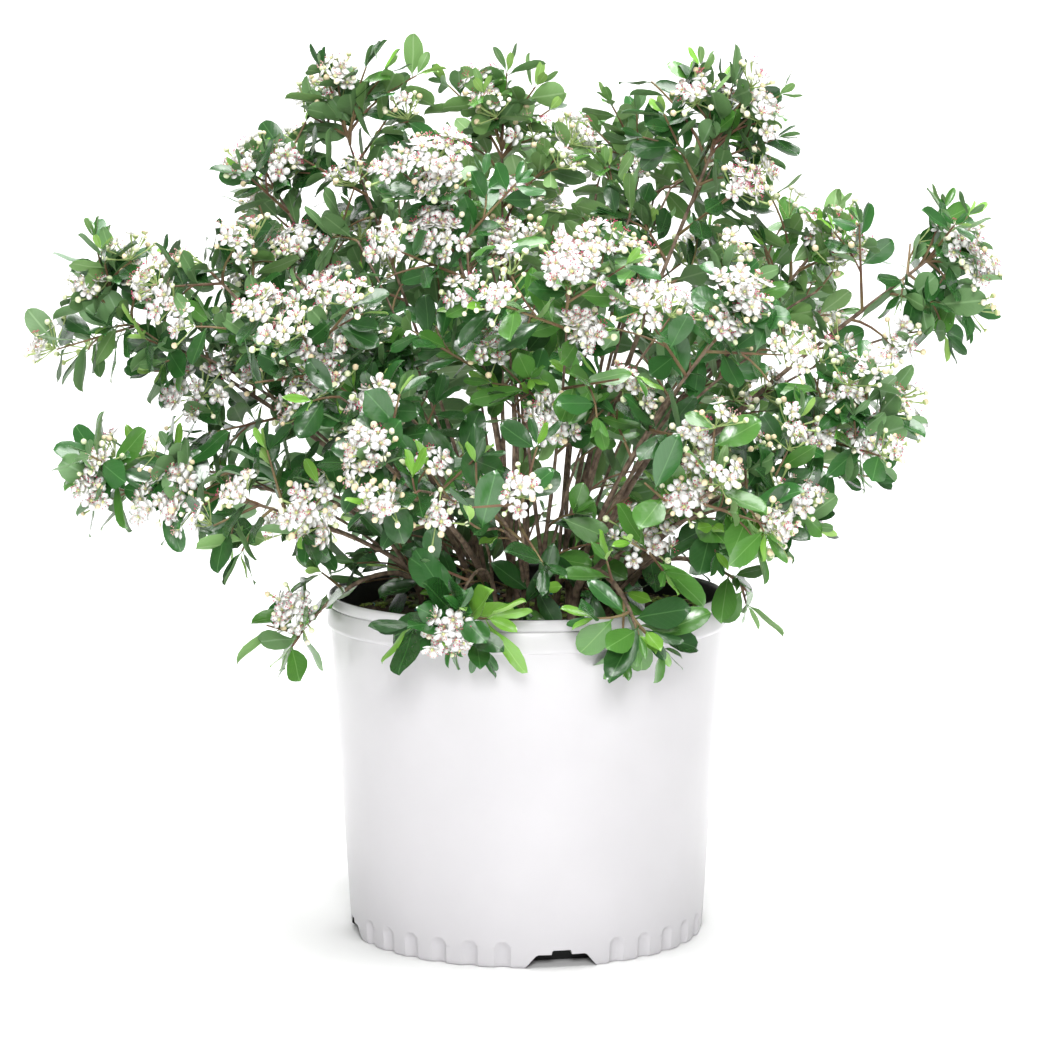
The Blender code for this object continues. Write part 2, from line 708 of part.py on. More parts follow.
def keep_largest_shell(mesh):
    bm = bmesh.new()
    bm.from_mesh(mesh)
    left = set(bm.faces)
    shells = []
    while left:
        shell = []
        edge_of_shell = [left.pop()]
        while edge_of_shell:
            face = edge_of_shell.pop()
            shell.append(face)
            for edge in face.edges:
                for other in edge.link_faces:
                    if other in left:
                        left.remove(other)
                        edge_of_shell.append(other)
        shells.append(shell)
    shells.sort(key=len)
    for shell in shells[:-1]:
        bmesh.ops.delete(bm, geom=shell, context="FACES")
    loose = [vert for vert in bm.verts if not vert.link_faces]
    bmesh.ops.delete(bm, geom=loose, context="VERTS")
    bm.to_mesh(mesh)
    bm.free()


def main():
    clear_scene()
    part = new_collection("chokeberry")
    cutters = new_collection("cutters", shown=False)
    white = new_material("pot_plastic", (0.86, 0.85, 0.87), 0.32)
    earth = new_material("soil", (0.035, 0.024, 0.016), 0.95)
    bark = new_material("bark", (0.19, 0.13, 0.10), 0.75)
    green = new_material("leaf_green", (0.045, 0.16, 0.035), 0.35)
    petals = new_material("blossom_white", (0.86, 0.86, 0.82), 0.6)
    make_pot(part, cutters, white)
    make_soil(part, earth)

    feet = shoot_feet()
    axes = {name: shoot_axis(feet[name], name) for name in SHOOTS}
    stems, masses = {}, {}
    for name, axis in axes.items():
        entry = SHOOTS[name][4]
        stems[name] = part_of(axis, 0.0, entry, STEM_POINTS)
        masses[name] = part_of(axis, entry, 1.0, MASS_POINTS)
        masses[name][0] += clearance_step(stems[name], masses[name])

    space = Space(masses)
    for points in stems.values():
        space.add_limb(points, [FOOT_RADIUS * FOOT_FLARE] + [FOOT_RADIUS] * (STEM_POINTS - 1))

    ground_mesh = mesh_from("ground", lambda bm: bmesh.ops.create_cube(bm, size=0.2))
    ground = helper(new_object("ground", ground_mesh, cutters, None))
    ground.location.z = SOIL_TOP + GAP - 0.1
    bpy.context.view_layer.update()
    for name in SHOOTS:
        make_stem(name, stems[name], part, ground, bark)
    meshes = {"leaf": leaf_mesh(green), "blossom": blossom_mesh(petals), "twig": twig_mesh(bark)}
    for name in SHOOTS:
        Mass(name, masses[name], space, meshes, part, bark).grow()


main()
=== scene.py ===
import json
import math
import random

import bmesh
import bpy
import numpy as np
from mathutils import Matrix, Vector, noise

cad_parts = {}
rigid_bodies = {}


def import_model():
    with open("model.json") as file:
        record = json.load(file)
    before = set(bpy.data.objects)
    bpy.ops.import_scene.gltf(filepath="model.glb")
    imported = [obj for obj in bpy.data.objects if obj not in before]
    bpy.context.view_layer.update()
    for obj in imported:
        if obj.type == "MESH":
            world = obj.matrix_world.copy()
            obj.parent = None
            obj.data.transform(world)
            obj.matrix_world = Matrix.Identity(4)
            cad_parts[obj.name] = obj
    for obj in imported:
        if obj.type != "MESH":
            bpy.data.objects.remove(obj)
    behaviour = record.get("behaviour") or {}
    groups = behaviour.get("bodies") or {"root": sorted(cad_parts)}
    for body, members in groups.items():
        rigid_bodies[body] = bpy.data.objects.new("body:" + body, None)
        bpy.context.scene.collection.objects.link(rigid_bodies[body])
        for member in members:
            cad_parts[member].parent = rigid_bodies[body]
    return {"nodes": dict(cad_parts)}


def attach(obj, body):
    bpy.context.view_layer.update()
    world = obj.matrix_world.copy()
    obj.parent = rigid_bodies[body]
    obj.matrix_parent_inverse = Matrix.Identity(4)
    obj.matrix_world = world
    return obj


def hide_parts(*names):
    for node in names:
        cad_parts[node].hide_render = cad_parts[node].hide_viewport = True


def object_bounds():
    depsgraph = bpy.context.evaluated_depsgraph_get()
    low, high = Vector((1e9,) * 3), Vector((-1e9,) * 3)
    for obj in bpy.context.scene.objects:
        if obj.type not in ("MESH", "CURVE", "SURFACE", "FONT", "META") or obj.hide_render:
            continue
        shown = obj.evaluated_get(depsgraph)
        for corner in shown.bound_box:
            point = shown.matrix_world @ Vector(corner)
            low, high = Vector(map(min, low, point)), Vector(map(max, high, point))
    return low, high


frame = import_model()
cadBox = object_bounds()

up = Vector((0, 0, 1))
fullTurn = 2 * math.pi
goldenAngle = math.radians(137.5)


def linear(hexColour):
    channels = [int(hexColour[i:i + 2], 16) / 255 for i in (1, 3, 5)]
    return tuple(c / 12.92 if c <= 0.04045 else ((c + 0.055) / 1.055) ** 2.4 for c in channels) + (1.0,)


# Adds a node, gives it its settings, and fills or links its inputs
def addNode(tree, kind, inputs=None, **settings):
    node = tree.nodes.new(kind)
    for name, value in settings.items():
        setattr(node, name, value)
    for name, value in (inputs or {}).items():
        if isinstance(value, bpy.types.NodeSocket):
            tree.links.new(value, node.inputs[name])
        else:
            node.inputs[name].default_value = value
    return node


def newMaterial(name, colour, roughness, ior=1.45, **sockets):
    material = bpy.data.materials.new(name)
    material.use_nodes = True
    shader = material.node_tree.nodes["Principled BSDF"]
    shader.inputs["Base Color"].default_value = linear(colour)
    shader.inputs["Roughness"].default_value = roughness
    shader.inputs["IOR"].default_value = ior
    for socket, value in sockets.items():
        shader.inputs[socket.replace("_", " ")].default_value = value
    return material, material.node_tree, shader


# Blotches of a second colour, and fine relief, both from noise on Object coordinates; sizes in millimetres
def mottle(tree, shader, first, second, size, reliefSize=0, relief=0.0, low=0.35, high=0.65):
    place = addNode(tree, "ShaderNodeTexCoord").outputs["Object"]
    cloud = addNode(tree, "ShaderNodeTexNoise", {"Vector": place, "Scale": 1000 / size, "Detail": 3.0})
    ramp = addNode(tree, "ShaderNodeValToRGB", {"Fac": cloud.outputs["Fac"]})
    ramp.color_ramp.elements[0].position, ramp.color_ramp.elements[0].color = low, linear(first)
    ramp.color_ramp.elements[1].position, ramp.color_ramp.elements[1].color = high, linear(second)
    tree.links.new(ramp.outputs["Color"], shader.inputs["Base Color"])
    if relief:
        grain = addNode(tree, "ShaderNodeTexNoise", {"Vector": place, "Scale": 1000 / reliefSize, "Detail": 4.0})
        bump = addNode(tree, "ShaderNodeBump", {"Height": grain.outputs["Fac"], "Strength": 1.0, "Distance": relief / 1000})
        tree.links.new(bump.outputs["Normal"], shader.inputs["Normal"])
    return ramp.outputs["Color"]


def meshOf(name, verts, faces, materials=(), smooth=True, slots=None):
    mesh = bpy.data.meshes.new(name)
    mesh.from_pydata([tuple(v) for v in verts], [], [tuple(f) for f in faces])
    for material in materials:
        mesh.materials.append(material)
    if smooth:
        mesh.shade_smooth()
    if slots is not None:
        mesh.polygons.foreach_set("material_index", slots)
    mesh.update()
    return mesh


def addPiece(name, mesh, slot, *nodes):
    piece = bpy.data.objects.new(name, mesh)
    bpy.context.scene.collection.objects.link(piece)
    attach(piece, "root")
    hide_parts(*nodes)
    print(f"{name}: {len(mesh.polygons)} faces")
    return piece


# Pot: blow-moulded white polyethylene, black inside, with a soft satin shine
pot = {
    "height": 0.241, "rimRadius": 0.1403, "lip": 0.0044, "collar": 0.023, "bead": 0.008, "neckRadius": 0.1380,
    "baseRadius": 0.1243, "wall": 0.0022, "floor": 0.004, "haunchHeight": 0.024, "haunchRadius": 0.088,
    "notches": 4, "notchTurn": math.radians(-79), "notchHeight": 0.0095, "notchWidth": 0.050,
    "notchTopWidth": 0.033, "drainWidth": 0.014, "drainHeight": 0.0125, "notchDepth": 0.030,
    "dentsPerSide": 6, "dentStep": math.radians(10.6), "dentRadius": 0.0072, "dentDepth": 0.0030,
    "dentMiddle": 0.0125, "soilTop": 0.227,
}


def wallRadius(height):
    share = height / (pot["height"] - pot["collar"])
    return pot["baseRadius"] + (pot["neckRadius"] - pot["baseRadius"]) * share


def dentAngles():
    step = fullTurn / pot["notches"]
    middle = (pot["dentsPerSide"] - 1) / 2
    return [
        pot["notchTurn"] + (side + 0.5) * step + (dent - middle) * pot["dentStep"]
        for side in range(pot["notches"]) for dent in range(pot["dentsPerSide"])
    ]


# Round-topped upright dents: how far the wall is pressed in at this angle and height
def dentDepth(angle, height, angles):
    nearest = min(abs((angle - a + math.pi) % fullTurn - math.pi) for a in angles)
    across = nearest * pot["baseRadius"]
    above = max(0.0, height - pot["dentMiddle"])
    off = across * across + above * above
    radius, depth = pot["dentRadius"], pot["dentDepth"]
    return max(0.0, math.sqrt(max(radius * radius - off, 0.0)) - (radius - depth))


def potProfile():
    rim, top, collar = pot["rimRadius"], pot["height"], pot["height"] - pot["collar"]
    bead = top - pot["bead"]
    haunch = pot["haunchHeight"]
    inner = [(0.0, pot["floor"]), (pot["haunchRadius"], pot["floor"]), (pot["haunchRadius"] + 0.006, haunch)]
    inner += [(wallRadius(z) - pot["wall"], z) for z in (haunch, 0.10, 0.18, 0.218, pot["soilTop"])]
    lip = rim - pot["lip"]
    roll = [(lip, top - 0.0030), (lip + 0.0002, top - 0.0014), (lip + 0.0007, top - 0.0005), (lip + 0.0015, top)]
    roll += [(rim - 0.0020, top - 0.0002), (rim - 0.0012, top - 0.0009), (rim - 0.0008, top - 0.0022)]
    band = [(rim - 0.0008, bead + 0.0012), (rim - 0.0011, bead + 0.0006), (rim - 0.0021, bead + 0.0003), (rim - 0.0021, bead - 0.0003)]
    band += [(rim - 0.0012, bead - 0.0007), (rim - 0.0008, bead - 0.0018), (rim - 0.0004, collar + 0.0070)]
    band += [(rim, collar + 0.0032), (rim - 0.0001, collar + 0.0014), (rim - 0.0007, collar + 0.0004), (rim - 0.0015, collar)]
    wall = [(pot["neckRadius"] + 0.0001, collar - 0.0003), (wallRadius(collar - 0.0014), collar - 0.0014), (wallRadius(collar - 0.006), collar - 0.006)]
    wall += [(wallRadius(z), z) for z in (0.18, 0.13, 0.08, 0.04, 0.024)]
    wall += [(wallRadius(z), z) for z in np.arange(0.0195, 0.0029, -0.0011)]
    base = pot["baseRadius"]
    foot = [(base - 0.0002, 0.0017), (base - 0.0008, 0.0008), (base - 0.0016, 0.0003), (base - 0.0028, 0.0), (0.0, 0.0)]
    return inner + roll + band + wall + foot, len(inner) + 4


def makePot():
    profile, blackRows = potProfile()
    dents = dentAngles()
    angles = set(round(fullTurn * i / 180, 5) for i in range(180))
    for dent in dents:
        angles |= set(round((dent + math.radians(d)) % fullTurn, 5) for d in np.linspace(-2.6, 2.6, 13))
    angles = sorted(angles)
    count, rows = len(angles), len(profile) - 2
    verts = [(0, 0, profile[0][1])]
    for radius, height in profile[1:-1]:
        outer = radius > pot["baseRadius"] - 0.004 and height < 0.021
        for angle in angles:
            r = radius - (dentDepth(angle, height, dents) if outer else 0.0)
            verts.append((r * math.cos(angle), r * math.sin(angle), height))
    verts.append((0, 0, 0.0))
    last = len(verts) - 1
    faces, slots = [], []
    for i in range(count):
        j = (i + 1) % count
        faces.append((0, 1 + i, 1 + j))
        slots.append(1)
        for row in range(rows - 1):
            low, high = 1 + row * count, 1 + (row + 1) * count
            faces.append((low + i, high + i, high + j, low + j))
            slots.append(1 if row + 1 < blackRows else 0)
        low = 1 + (rows - 1) * count
        faces.append((low + i, last, low + j))
        slots.append(0)
    mesh = meshOf("potBody", verts, faces, [potWhite, potBlack], slots=slots)
    body = bpy.data.objects.new("potBody", mesh)
    bpy.context.scene.collection.objects.link(body)
    cutters = bpy.data.collections.new("potCutters")
    bpy.context.scene.collection.children.link(cutters)
    low = -0.004
    slope = (pot["notchWidth"] - pot["notchTopWidth"]) / 2 / pot["notchHeight"]
    spread = pot["notchWidth"] / 2 - slope * low
    right = [(spread, low), (pot["notchTopWidth"] / 2 + 0.0012, pot["notchHeight"] - 0.0008)]
    right += [(pot["notchTopWidth"] / 2 - 0.0006, pot["notchHeight"]), (pot["drainWidth"] / 2, pot["notchHeight"])]
    right += [(pot["drainWidth"] / 2 - 0.0004, pot["drainHeight"] - 0.0006), (pot["drainWidth"] / 2 - 0.0014, pot["drainHeight"])]
    outline = right + [(-x, z) for x, z in reversed(right)]
    size = len(outline)
    for side in range(pot["notches"]):
        angle = pot["notchTurn"] + side * fullTurn / pot["notches"]
        near = pot["baseRadius"] + 0.006
        cuts = (near, pot["baseRadius"] - pot["wall"], near - pot["notchDepth"])
        turn = Matrix.Rotation(angle, 3, "Z")
        verts = [turn @ Vector((r, x, z)) for r in cuts for x, z in outline]
        faces = [tuple(range(size)), tuple(reversed(range(2 * size, 3 * size)))]
        for k in (0, size):
            faces += [(i + k, i + size + k, (i + 1) % size + size + k, (i + 1) % size + k) for i in range(size)]
        slots = [0, 1] + [0] * size + [1] * size
        mesh = meshOf(f"notch{side}", verts, faces, [potWhite, potBlack], smooth=False, slots=slots)
        bm = bmesh.new()
        bm.from_mesh(mesh)
        bmesh.ops.recalc_face_normals(bm, faces=bm.faces)
        bm.to_mesh(mesh)
        bm.free()
        cutters.objects.link(bpy.data.objects.new(f"notch{side}", mesh))
    cut = body.modifiers.new("notches", "BOOLEAN")
    cut.operand_type = "COLLECTION"
    cut.collection = cutters
    cut.solver = "EXACT"
    mesh = evaluatedMesh(body)
    mesh.set_sharp_from_angle(angle=math.radians(34))
    bpy.data.objects.remove(body)
    for cutter in list(cutters.objects):
        bpy.data.objects.remove(cutter)
    bpy.data.collections.remove(cutters)
    return addPiece("pot_shell", mesh, "pot", "pot")


def evaluatedMesh(obj):
    graph = bpy.context.evaluated_depsgraph_get()
    mesh = bpy.data.meshes.new_from_object(obj.evaluated_get(graph), depsgraph=graph)
    mesh.transform(obj.matrix_world)
    return mesh


# High-density polyethylene, moulded: even white, satin, a hint of lilac in the shade
potWhite, tree, shader = newMaterial("polyethylene_white_moulded", "#c0bec1", 0.32, 1.5)
mottle(tree, shader, "#bfbdc0", "#c2c0c3", 60, 1.4, 0.012)
# The same plastic with carbon black, a little rougher inside
potBlack, tree, shader = newMaterial("polyethylene_black_moulded", "#0d0c0d", 0.5, 1.5)
mottle(tree, shader, "#0b0a0b", "#141314", 25, 1.2, 0.02)
makePot()


# Soil: peat and bark mix, dark and crumbly, with moss and a few coated fertiliser grains
soil = {
    "top": 0.227, "radius": 0.1358, "under": 0.200, "rings": 46, "sectors": 150, "seed": 4,
    "crumbs": 900, "crumbSize": (0.0012, 0.0040), "barkBits": 150, "barkSize": (0.004, 0.010),
    "mossTufts": 240, "mossSize": (0.004, 0.009), "grains": 60, "grainSize": (0.0024, 0.0030), "litterReach": 0.130,
}


def soilHeight(x, y):
    far = math.hypot(x, y) / soil["radius"]
    relief = 0.0032 * noise.noise(Vector((x * 28, y * 28, 1.3))) + 0.0018 * noise.noise(Vector((x * 95, y * 95, 4.1)))
    relief += 0.0010 * noise.noise(Vector((x * 330, y * 330, 7.7)))
    return soil["top"] - 0.001 + relief - 0.004 * max(0.0, far - 0.86) / 0.14


def makeSoil():
    verts = [(0, 0, soilHeight(0, 0))]
    for ring in range(1, soil["rings"] + 1):
        radius = soil["radius"] * ring / soil["rings"]
        for sector in range(soil["sectors"]):
            angle = fullTurn * sector / soil["sectors"]
            x, y = radius * math.cos(angle), radius * math.sin(angle)
            verts.append((x, y, soilHeight(x, y)))
    count = soil["sectors"]
    rim = len(verts) - count
    verts += [(x * 0.985, y * 0.985, soil["under"]) for x, y, _ in verts[rim:]]
    verts.append((0, 0, soil["under"]))
    faces = []
    for i in range(count):
        j = (i + 1) % count
        faces.append((0, 1 + i, 1 + j))
        for ring in range(soil["rings"]):
            low, high = 1 + ring * count, 1 + (ring + 1) * count
            faces.append((low + i, high + i, high + j, low + j))
        faces.append((1 + soil["rings"] * count + i, len(verts) - 1, 1 + soil["rings"] * count + j))
    mesh = meshOf("soilTop", verts, faces, [peat])
    return addPiece("soil_top", mesh, "soil", "soil")


# A small uneven lump, flattened by the scale that a spot gives it
def lumpShape(name, seed, uneven):
    bm = bmesh.new()
    bmesh.ops.create_icosphere(bm, subdivisions=1, radius=0.5)
    rng = random.Random(seed)
    verts = [v.co * rng.uniform(1 - uneven, 1 + uneven) for v in bm.verts]
    faces = [tuple(v.index for v in f.verts) for f in bm.faces]
    bm.free()
    return shapeOf(name, verts, faces, smooth=uneven < 0.1)


# Crumbs of peat, flakes of bark, moss cushions and round fertiliser grains, strewn on the soil
def makeLitter():
    rng = random.Random(soil["seed"])
    spots = Spots()
    kinds = ((0, soil["crumbs"], soil["crumbSize"], 0.8), (1, soil["barkBits"], soil["barkSize"], 0.22),
             (2, soil["mossTufts"], soil["mossSize"], 0.45), (3, soil["grains"], soil["grainSize"], 1.0))
    for kind, count, (least, most), flat in kinds:
        for _ in range(count):
            angle, far = rng.uniform(0, fullTurn), soil["litterReach"] * math.sqrt(rng.random())
            x, y = far * math.cos(angle), far * math.sin(angle)
            size = rng.uniform(least, most)
            face = up + jitter(rng, 0.35)
            heading = Vector((math.cos(angle * 7), math.sin(angle * 7), 0))
            place = Vector((x, y, soilHeight(x, y) + size * flat * 0.25))
            spots.add(place, heading, face, (size * (0.55 if kind == 1 else 1.0), size, size * flat), 1 if kind == 3 else 0, kind)
    shapes = [lumpShape("lump", 3, 0.22), lumpShape("grain", 3, 0.02)]
    mesh = scatter("litter", spots, shapes, [[peatCrumb], [barkFlake], [mossGreen], [coatedGrain]])
    return addPiece("soil_litter", mesh, "soil", "soil")


# Potting mix of peat and fine bark: nearly black where damp, brown crumbs, moss in patches
peat, tree, shader = newMaterial("peat_and_bark_mix", "#2c241b", 0.93, 1.4)
place = addNode(tree, "ShaderNodeTexCoord").outputs["Object"]
crumble = addNode(tree, "ShaderNodeTexNoise", {"Vector": place, "Scale": 420.0, "Detail": 5.0})
mossPatch = addNode(tree, "ShaderNodeTexNoise", {"Vector": place, "Scale": 34.0, "Detail": 4.0})
earth = addNode(tree, "ShaderNodeValToRGB", {"Fac": crumble.outputs["Fac"]})
earth.color_ramp.elements[0].position, earth.color_ramp.elements[0].color = 0.30, linear("#15110c")
earth.color_ramp.elements[1].position, earth.color_ramp.elements[1].color = 0.75, linear("#5a4632")
mossShare = addNode(tree, "ShaderNodeMapRange", {"Value": mossPatch.outputs["Fac"], "From Min": 0.50, "From Max": 0.62})
tinted = tree.nodes.new("ShaderNodeMix")
tinted.data_type = "RGBA"
tree.links.new(mossShare.outputs["Result"], tinted.inputs["Factor"])
tree.links.new(earth.outputs["Color"], tinted.inputs[6])
tinted.inputs[7].default_value = linear("#3d4a1e")
tree.links.new(tinted.outputs[2], shader.inputs["Base Color"])
bump = addNode(tree, "ShaderNodeBump", {"Height": crumble.outputs["Fac"], "Strength": 1.0, "Distance": 0.0012})
tree.links.new(bump.outputs["Normal"], shader.inputs["Normal"])
peatCrumb, tree, shader = newMaterial("peat_crumb", "#33281c", 0.95)
barkFlake, tree, shader = newMaterial("composted_bark_flake", "#5d4532", 0.85)
mottle(tree, shader, "#4a3626", "#75583f", 3)
mossGreen, tree, shader = newMaterial("cushion_moss", "#56662a", 0.95)
mottle(tree, shader, "#46561f", "#788a3c", 2, 0.6, 0.4)
# Slow-release fertiliser in its coloured resin coat
coatedGrain, tree, shader = newMaterial("resin_coated_fertiliser", "#3f8f98", 0.3, 1.5)


# Rotation whose +Y follows the heading and whose +Z looks towards the face
def turnTo(heading, face):
    y = heading.normalized()
    x = y.cross(face)
    x = x.normalized() if x.length > 1e-6 else y.orthogonal().normalized()
    return Matrix((x, y, x.cross(y))).transposed().to_euler()


# Points that carry their turn, size, shape number and tint number
class Spots:
    def __init__(self):
        self.rows = []

    def add(self, place, heading, face, size, shape=0, tint=0):
        self.rows.append((tuple(place), tuple(turnTo(heading, face)), tuple(size), shape, tint))

    # The spots in front of the pot's axis, or those behind it
    def half(self, front):
        part = Spots()
        part.rows = [row for row in self.rows if (row[0][1] < 0) == front]
        return part


# Instances one of the shapes on each spot, realizes them and deals out the materials by tint and side
def scatterTree(name, shapes, finishes):
    tree = bpy.data.node_groups.new(name, "GeometryNodeTree")
    tree.interface.new_socket(name="Geometry", in_out="INPUT", socket_type="NodeSocketGeometry")
    tree.interface.new_socket(name="Size", in_out="INPUT", socket_type="NodeSocketFloat")
    tree.interface.new_socket(name="Uneven Size", in_out="INPUT", socket_type="NodeSocketFloat")
    tree.interface.new_socket(name="Seed", in_out="INPUT", socket_type="NodeSocketInt")
    tree.interface.new_socket(name="Geometry", in_out="OUTPUT", socket_type="NodeSocketGeometry")
    start = addNode(tree, "NodeGroupInput")
    read = {
        key: addNode(tree, "GeometryNodeInputNamedAttribute", {"Name": key}, data_type=kind).outputs["Attribute"]
        for key, kind in (("turn", "FLOAT_VECTOR"), ("size", "FLOAT_VECTOR"), ("shape", "INT"), ("tint", "INT"), ("side", "INT"))
    }
    least = addNode(tree, "ShaderNodeMath", {0: 1.0, 1: start.outputs["Uneven Size"]}, operation="SUBTRACT")
    most = addNode(tree, "ShaderNodeMath", {0: 1.0, 1: start.outputs["Uneven Size"]}, operation="ADD")
    uneven = addNode(tree, "FunctionNodeRandomValue", data_type="FLOAT")
    tree.links.new(least.outputs[0], uneven.inputs[2])
    tree.links.new(most.outputs[0], uneven.inputs[3])
    tree.links.new(start.outputs["Seed"], uneven.inputs["Seed"])
    share = addNode(tree, "ShaderNodeMath", {0: start.outputs["Size"], 1: uneven.outputs[1]}, operation="MULTIPLY")
    size = addNode(tree, "ShaderNodeVectorMath", {0: read["size"], "Scale": share.outputs[0]}, operation="SCALE")
    joined = tree.nodes.new("GeometryNodeJoinGeometry")
    for number, shape in enumerate(shapes):
        chosen = addNode(tree, "FunctionNodeCompare", data_type="INT", operation="EQUAL")
        tree.links.new(read["shape"], chosen.inputs[2])
        chosen.inputs[3].default_value = number
        source = addNode(tree, "GeometryNodeObjectInfo", {"Object": shape, "As Instance": False})
        put = addNode(tree, "GeometryNodeInstanceOnPoints", {
            "Points": start.outputs["Geometry"], "Selection": chosen.outputs["Result"],
            "Instance": source.outputs["Geometry"], "Rotation": read["turn"], "Scale": size.outputs["Vector"],
        })
        tree.links.new(put.outputs["Instances"], joined.inputs["Geometry"])
    solid = addNode(tree, "GeometryNodeRealizeInstances", {"Geometry": joined.outputs["Geometry"]})
    shown = solid.outputs["Geometry"]
    sides = len(finishes[0])
    row = addNode(tree, "ShaderNodeMath", {0: read["tint"], 1: float(sides), 2: read["side"]}, operation="MULTIPLY_ADD")
    for tint, sideFinishes in enumerate(finishes):
        for side, material in enumerate(sideFinishes):
            own = addNode(tree, "FunctionNodeCompare", {0: row.outputs[0], 1: float(tint * sides + side), "Epsilon": 0.2}, data_type="FLOAT", operation="EQUAL")
            coat = addNode(tree, "GeometryNodeSetMaterial", {"Geometry": shown, "Selection": own.outputs["Result"], "Material": material})
            shown = coat.outputs["Geometry"]
    addNode(tree, "NodeGroupOutput", {"Geometry": shown})
    return tree


def scatter(name, spots, shapes, finishes, size=1.0, unevenSize=0.0, seed=1):
    mesh = bpy.data.meshes.new(name)
    places, turns, sizes, kinds, tints = zip(*spots.rows)
    mesh.from_pydata(places, [], [])
    for key, kind, field, values in (
        ("turn", "FLOAT_VECTOR", "vector", turns), ("size", "FLOAT_VECTOR", "vector", sizes),
        ("shape", "INT", "value", kinds), ("tint", "INT", "value", tints),
    ):
        mesh.attributes.new(key, kind, "POINT").data.foreach_set(field, np.array(values).ravel())
    tree = scatterTree(name + "Tree", shapes, finishes)
    return grown(name, mesh, tree, {"Size": size, "Uneven Size": unevenSize, "Seed": seed})


# Runs a tree over a mesh and returns the plain mesh that it gives
def grown(name, mesh, tree, values):
    holder = bpy.data.objects.new(name + "Holder", mesh)
    bpy.context.scene.collection.objects.link(holder)
    modifier = holder.modifiers.new("grow", "NODES")
    modifier.node_group = tree
    for item in tree.interface.items_tree:
        if item.item_type == "SOCKET" and item.in_out == "INPUT" and item.name in values:
            modifier[item.identifier] = values[item.name]
    result = evaluatedMesh(holder)
    result.name = name
    bpy.data.objects.remove(holder)
    for key in ("turn", "size", "shape", "tint", "side", "thickness"):
        if key in result.attributes:
            result.attributes.remove(result.attributes[key])
    return result


# A shape to instance: it's never linked to the scene; side says which finish each face takes
def shapeOf(name, verts, faces, sides=None, smooth=True, uvs=None, sharp=None):
    mesh = meshOf(name, verts, faces, smooth=smooth)
    mesh.attributes.new("side", "INT", "FACE").data.foreach_set("value", sides or [0] * len(faces))
    if uvs is not None:
        layer = mesh.uv_layers.new(name="UVMap")
        for loop in mesh.loops:
            layer.data[loop.index].uv = uvs[loop.vertex_index]
    if sharp:
        edges = {tuple(sorted(edge)) for edge in sharp}
        flags = [tuple(sorted(edge.vertices)) in edges for edge in mesh.edges]
        mesh.attributes.new("sharp_edge", "BOOLEAN", "EDGE").data.foreach_set("value", flags)
    return bpy.data.objects.new(name, mesh)


# Paths as tubes of a round section that follows each point's own radius
def tubeTree(name, sides, material):
    tree = bpy.data.node_groups.new(name, "GeometryNodeTree")
    tree.interface.new_socket(name="Geometry", in_out="INPUT", socket_type="NodeSocketGeometry")
    tree.interface.new_socket(name="Thickness", in_out="INPUT", socket_type="NodeSocketFloat")
    tree.interface.new_socket(name="Relief", in_out="INPUT", socket_type="NodeSocketFloat")
    tree.interface.new_socket(name="Relief Scale", in_out="INPUT", socket_type="NodeSocketFloat")
    tree.interface.new_socket(name="Geometry", in_out="OUTPUT", socket_type="NodeSocketGeometry")
    start = addNode(tree, "NodeGroupInput")
    thickness = addNode(tree, "GeometryNodeInputNamedAttribute", {"Name": "thickness"}, data_type="FLOAT")
    line = addNode(tree, "GeometryNodeMeshToCurve", {"Mesh": start.outputs["Geometry"]})
    radius = addNode(tree, "ShaderNodeMath", {0: thickness.outputs["Attribute"], 1: start.outputs["Thickness"]}, operation="MULTIPLY")
    ring = addNode(tree, "GeometryNodeCurvePrimitiveCircle", {"Resolution": sides, "Radius": 1.0})
    tube = addNode(tree, "GeometryNodeCurveToMesh", {
        "Curve": line.outputs["Curve"], "Profile Curve": ring.outputs["Curve"], "Scale": radius.outputs[0], "Fill Caps": True,
    })
    bumps = addNode(tree, "ShaderNodeTexNoise", {"Scale": start.outputs["Relief Scale"], "Detail": 2.0})
    centred = addNode(tree, "ShaderNodeMath", {0: bumps.outputs["Fac"], 1: 0.5}, operation="SUBTRACT")
    high = addNode(tree, "ShaderNodeMath", {0: centred.outputs[0], 1: start.outputs["Relief"]}, operation="MULTIPLY")
    normal = addNode(tree, "GeometryNodeInputNormal")
    push = addNode(tree, "ShaderNodeVectorMath", {0: normal.outputs["Normal"], "Scale": high.outputs[0]}, operation="SCALE")
    rough = addNode(tree, "GeometryNodeSetPosition", {"Geometry": tube.outputs["Mesh"], "Offset": push.outputs["Vector"]})
    smooth = addNode(tree, "GeometryNodeSetShadeSmooth", {"Geometry": rough.outputs["Geometry"]})
    solid = addNode(tree, "GeometryNodeRealizeInstances", {"Geometry": smooth.outputs["Geometry"]})
    coat = addNode(tree, "GeometryNodeSetMaterial", {"Geometry": solid.outputs["Geometry"], "Material": material})
    addNode(tree, "NodeGroupOutput", {"Geometry": coat.outputs["Geometry"]})
    return tree


def tubes(name, paths, sides, material, thickness=1.0, relief=0.0, reliefScale=100.0):
    verts, edges, radii = [], [], []
    for points, widths in paths:
        first = len(verts)
        verts += [tuple(point) for point in points]
        edges += [(first + i, first + i + 1) for i in range(len(points) - 1)]
        radii += widths
    mesh = bpy.data.meshes.new(name)
    mesh.from_pydata(verts, edges, [])
    mesh.attributes.new("thickness", "FLOAT", "POINT").data.foreach_set("value", radii)
    tree = tubeTree(name + "Tree", sides, material)
    return grown(name, mesh, tree, {"Thickness": thickness, "Relief": relief, "Relief Scale": reliefScale})


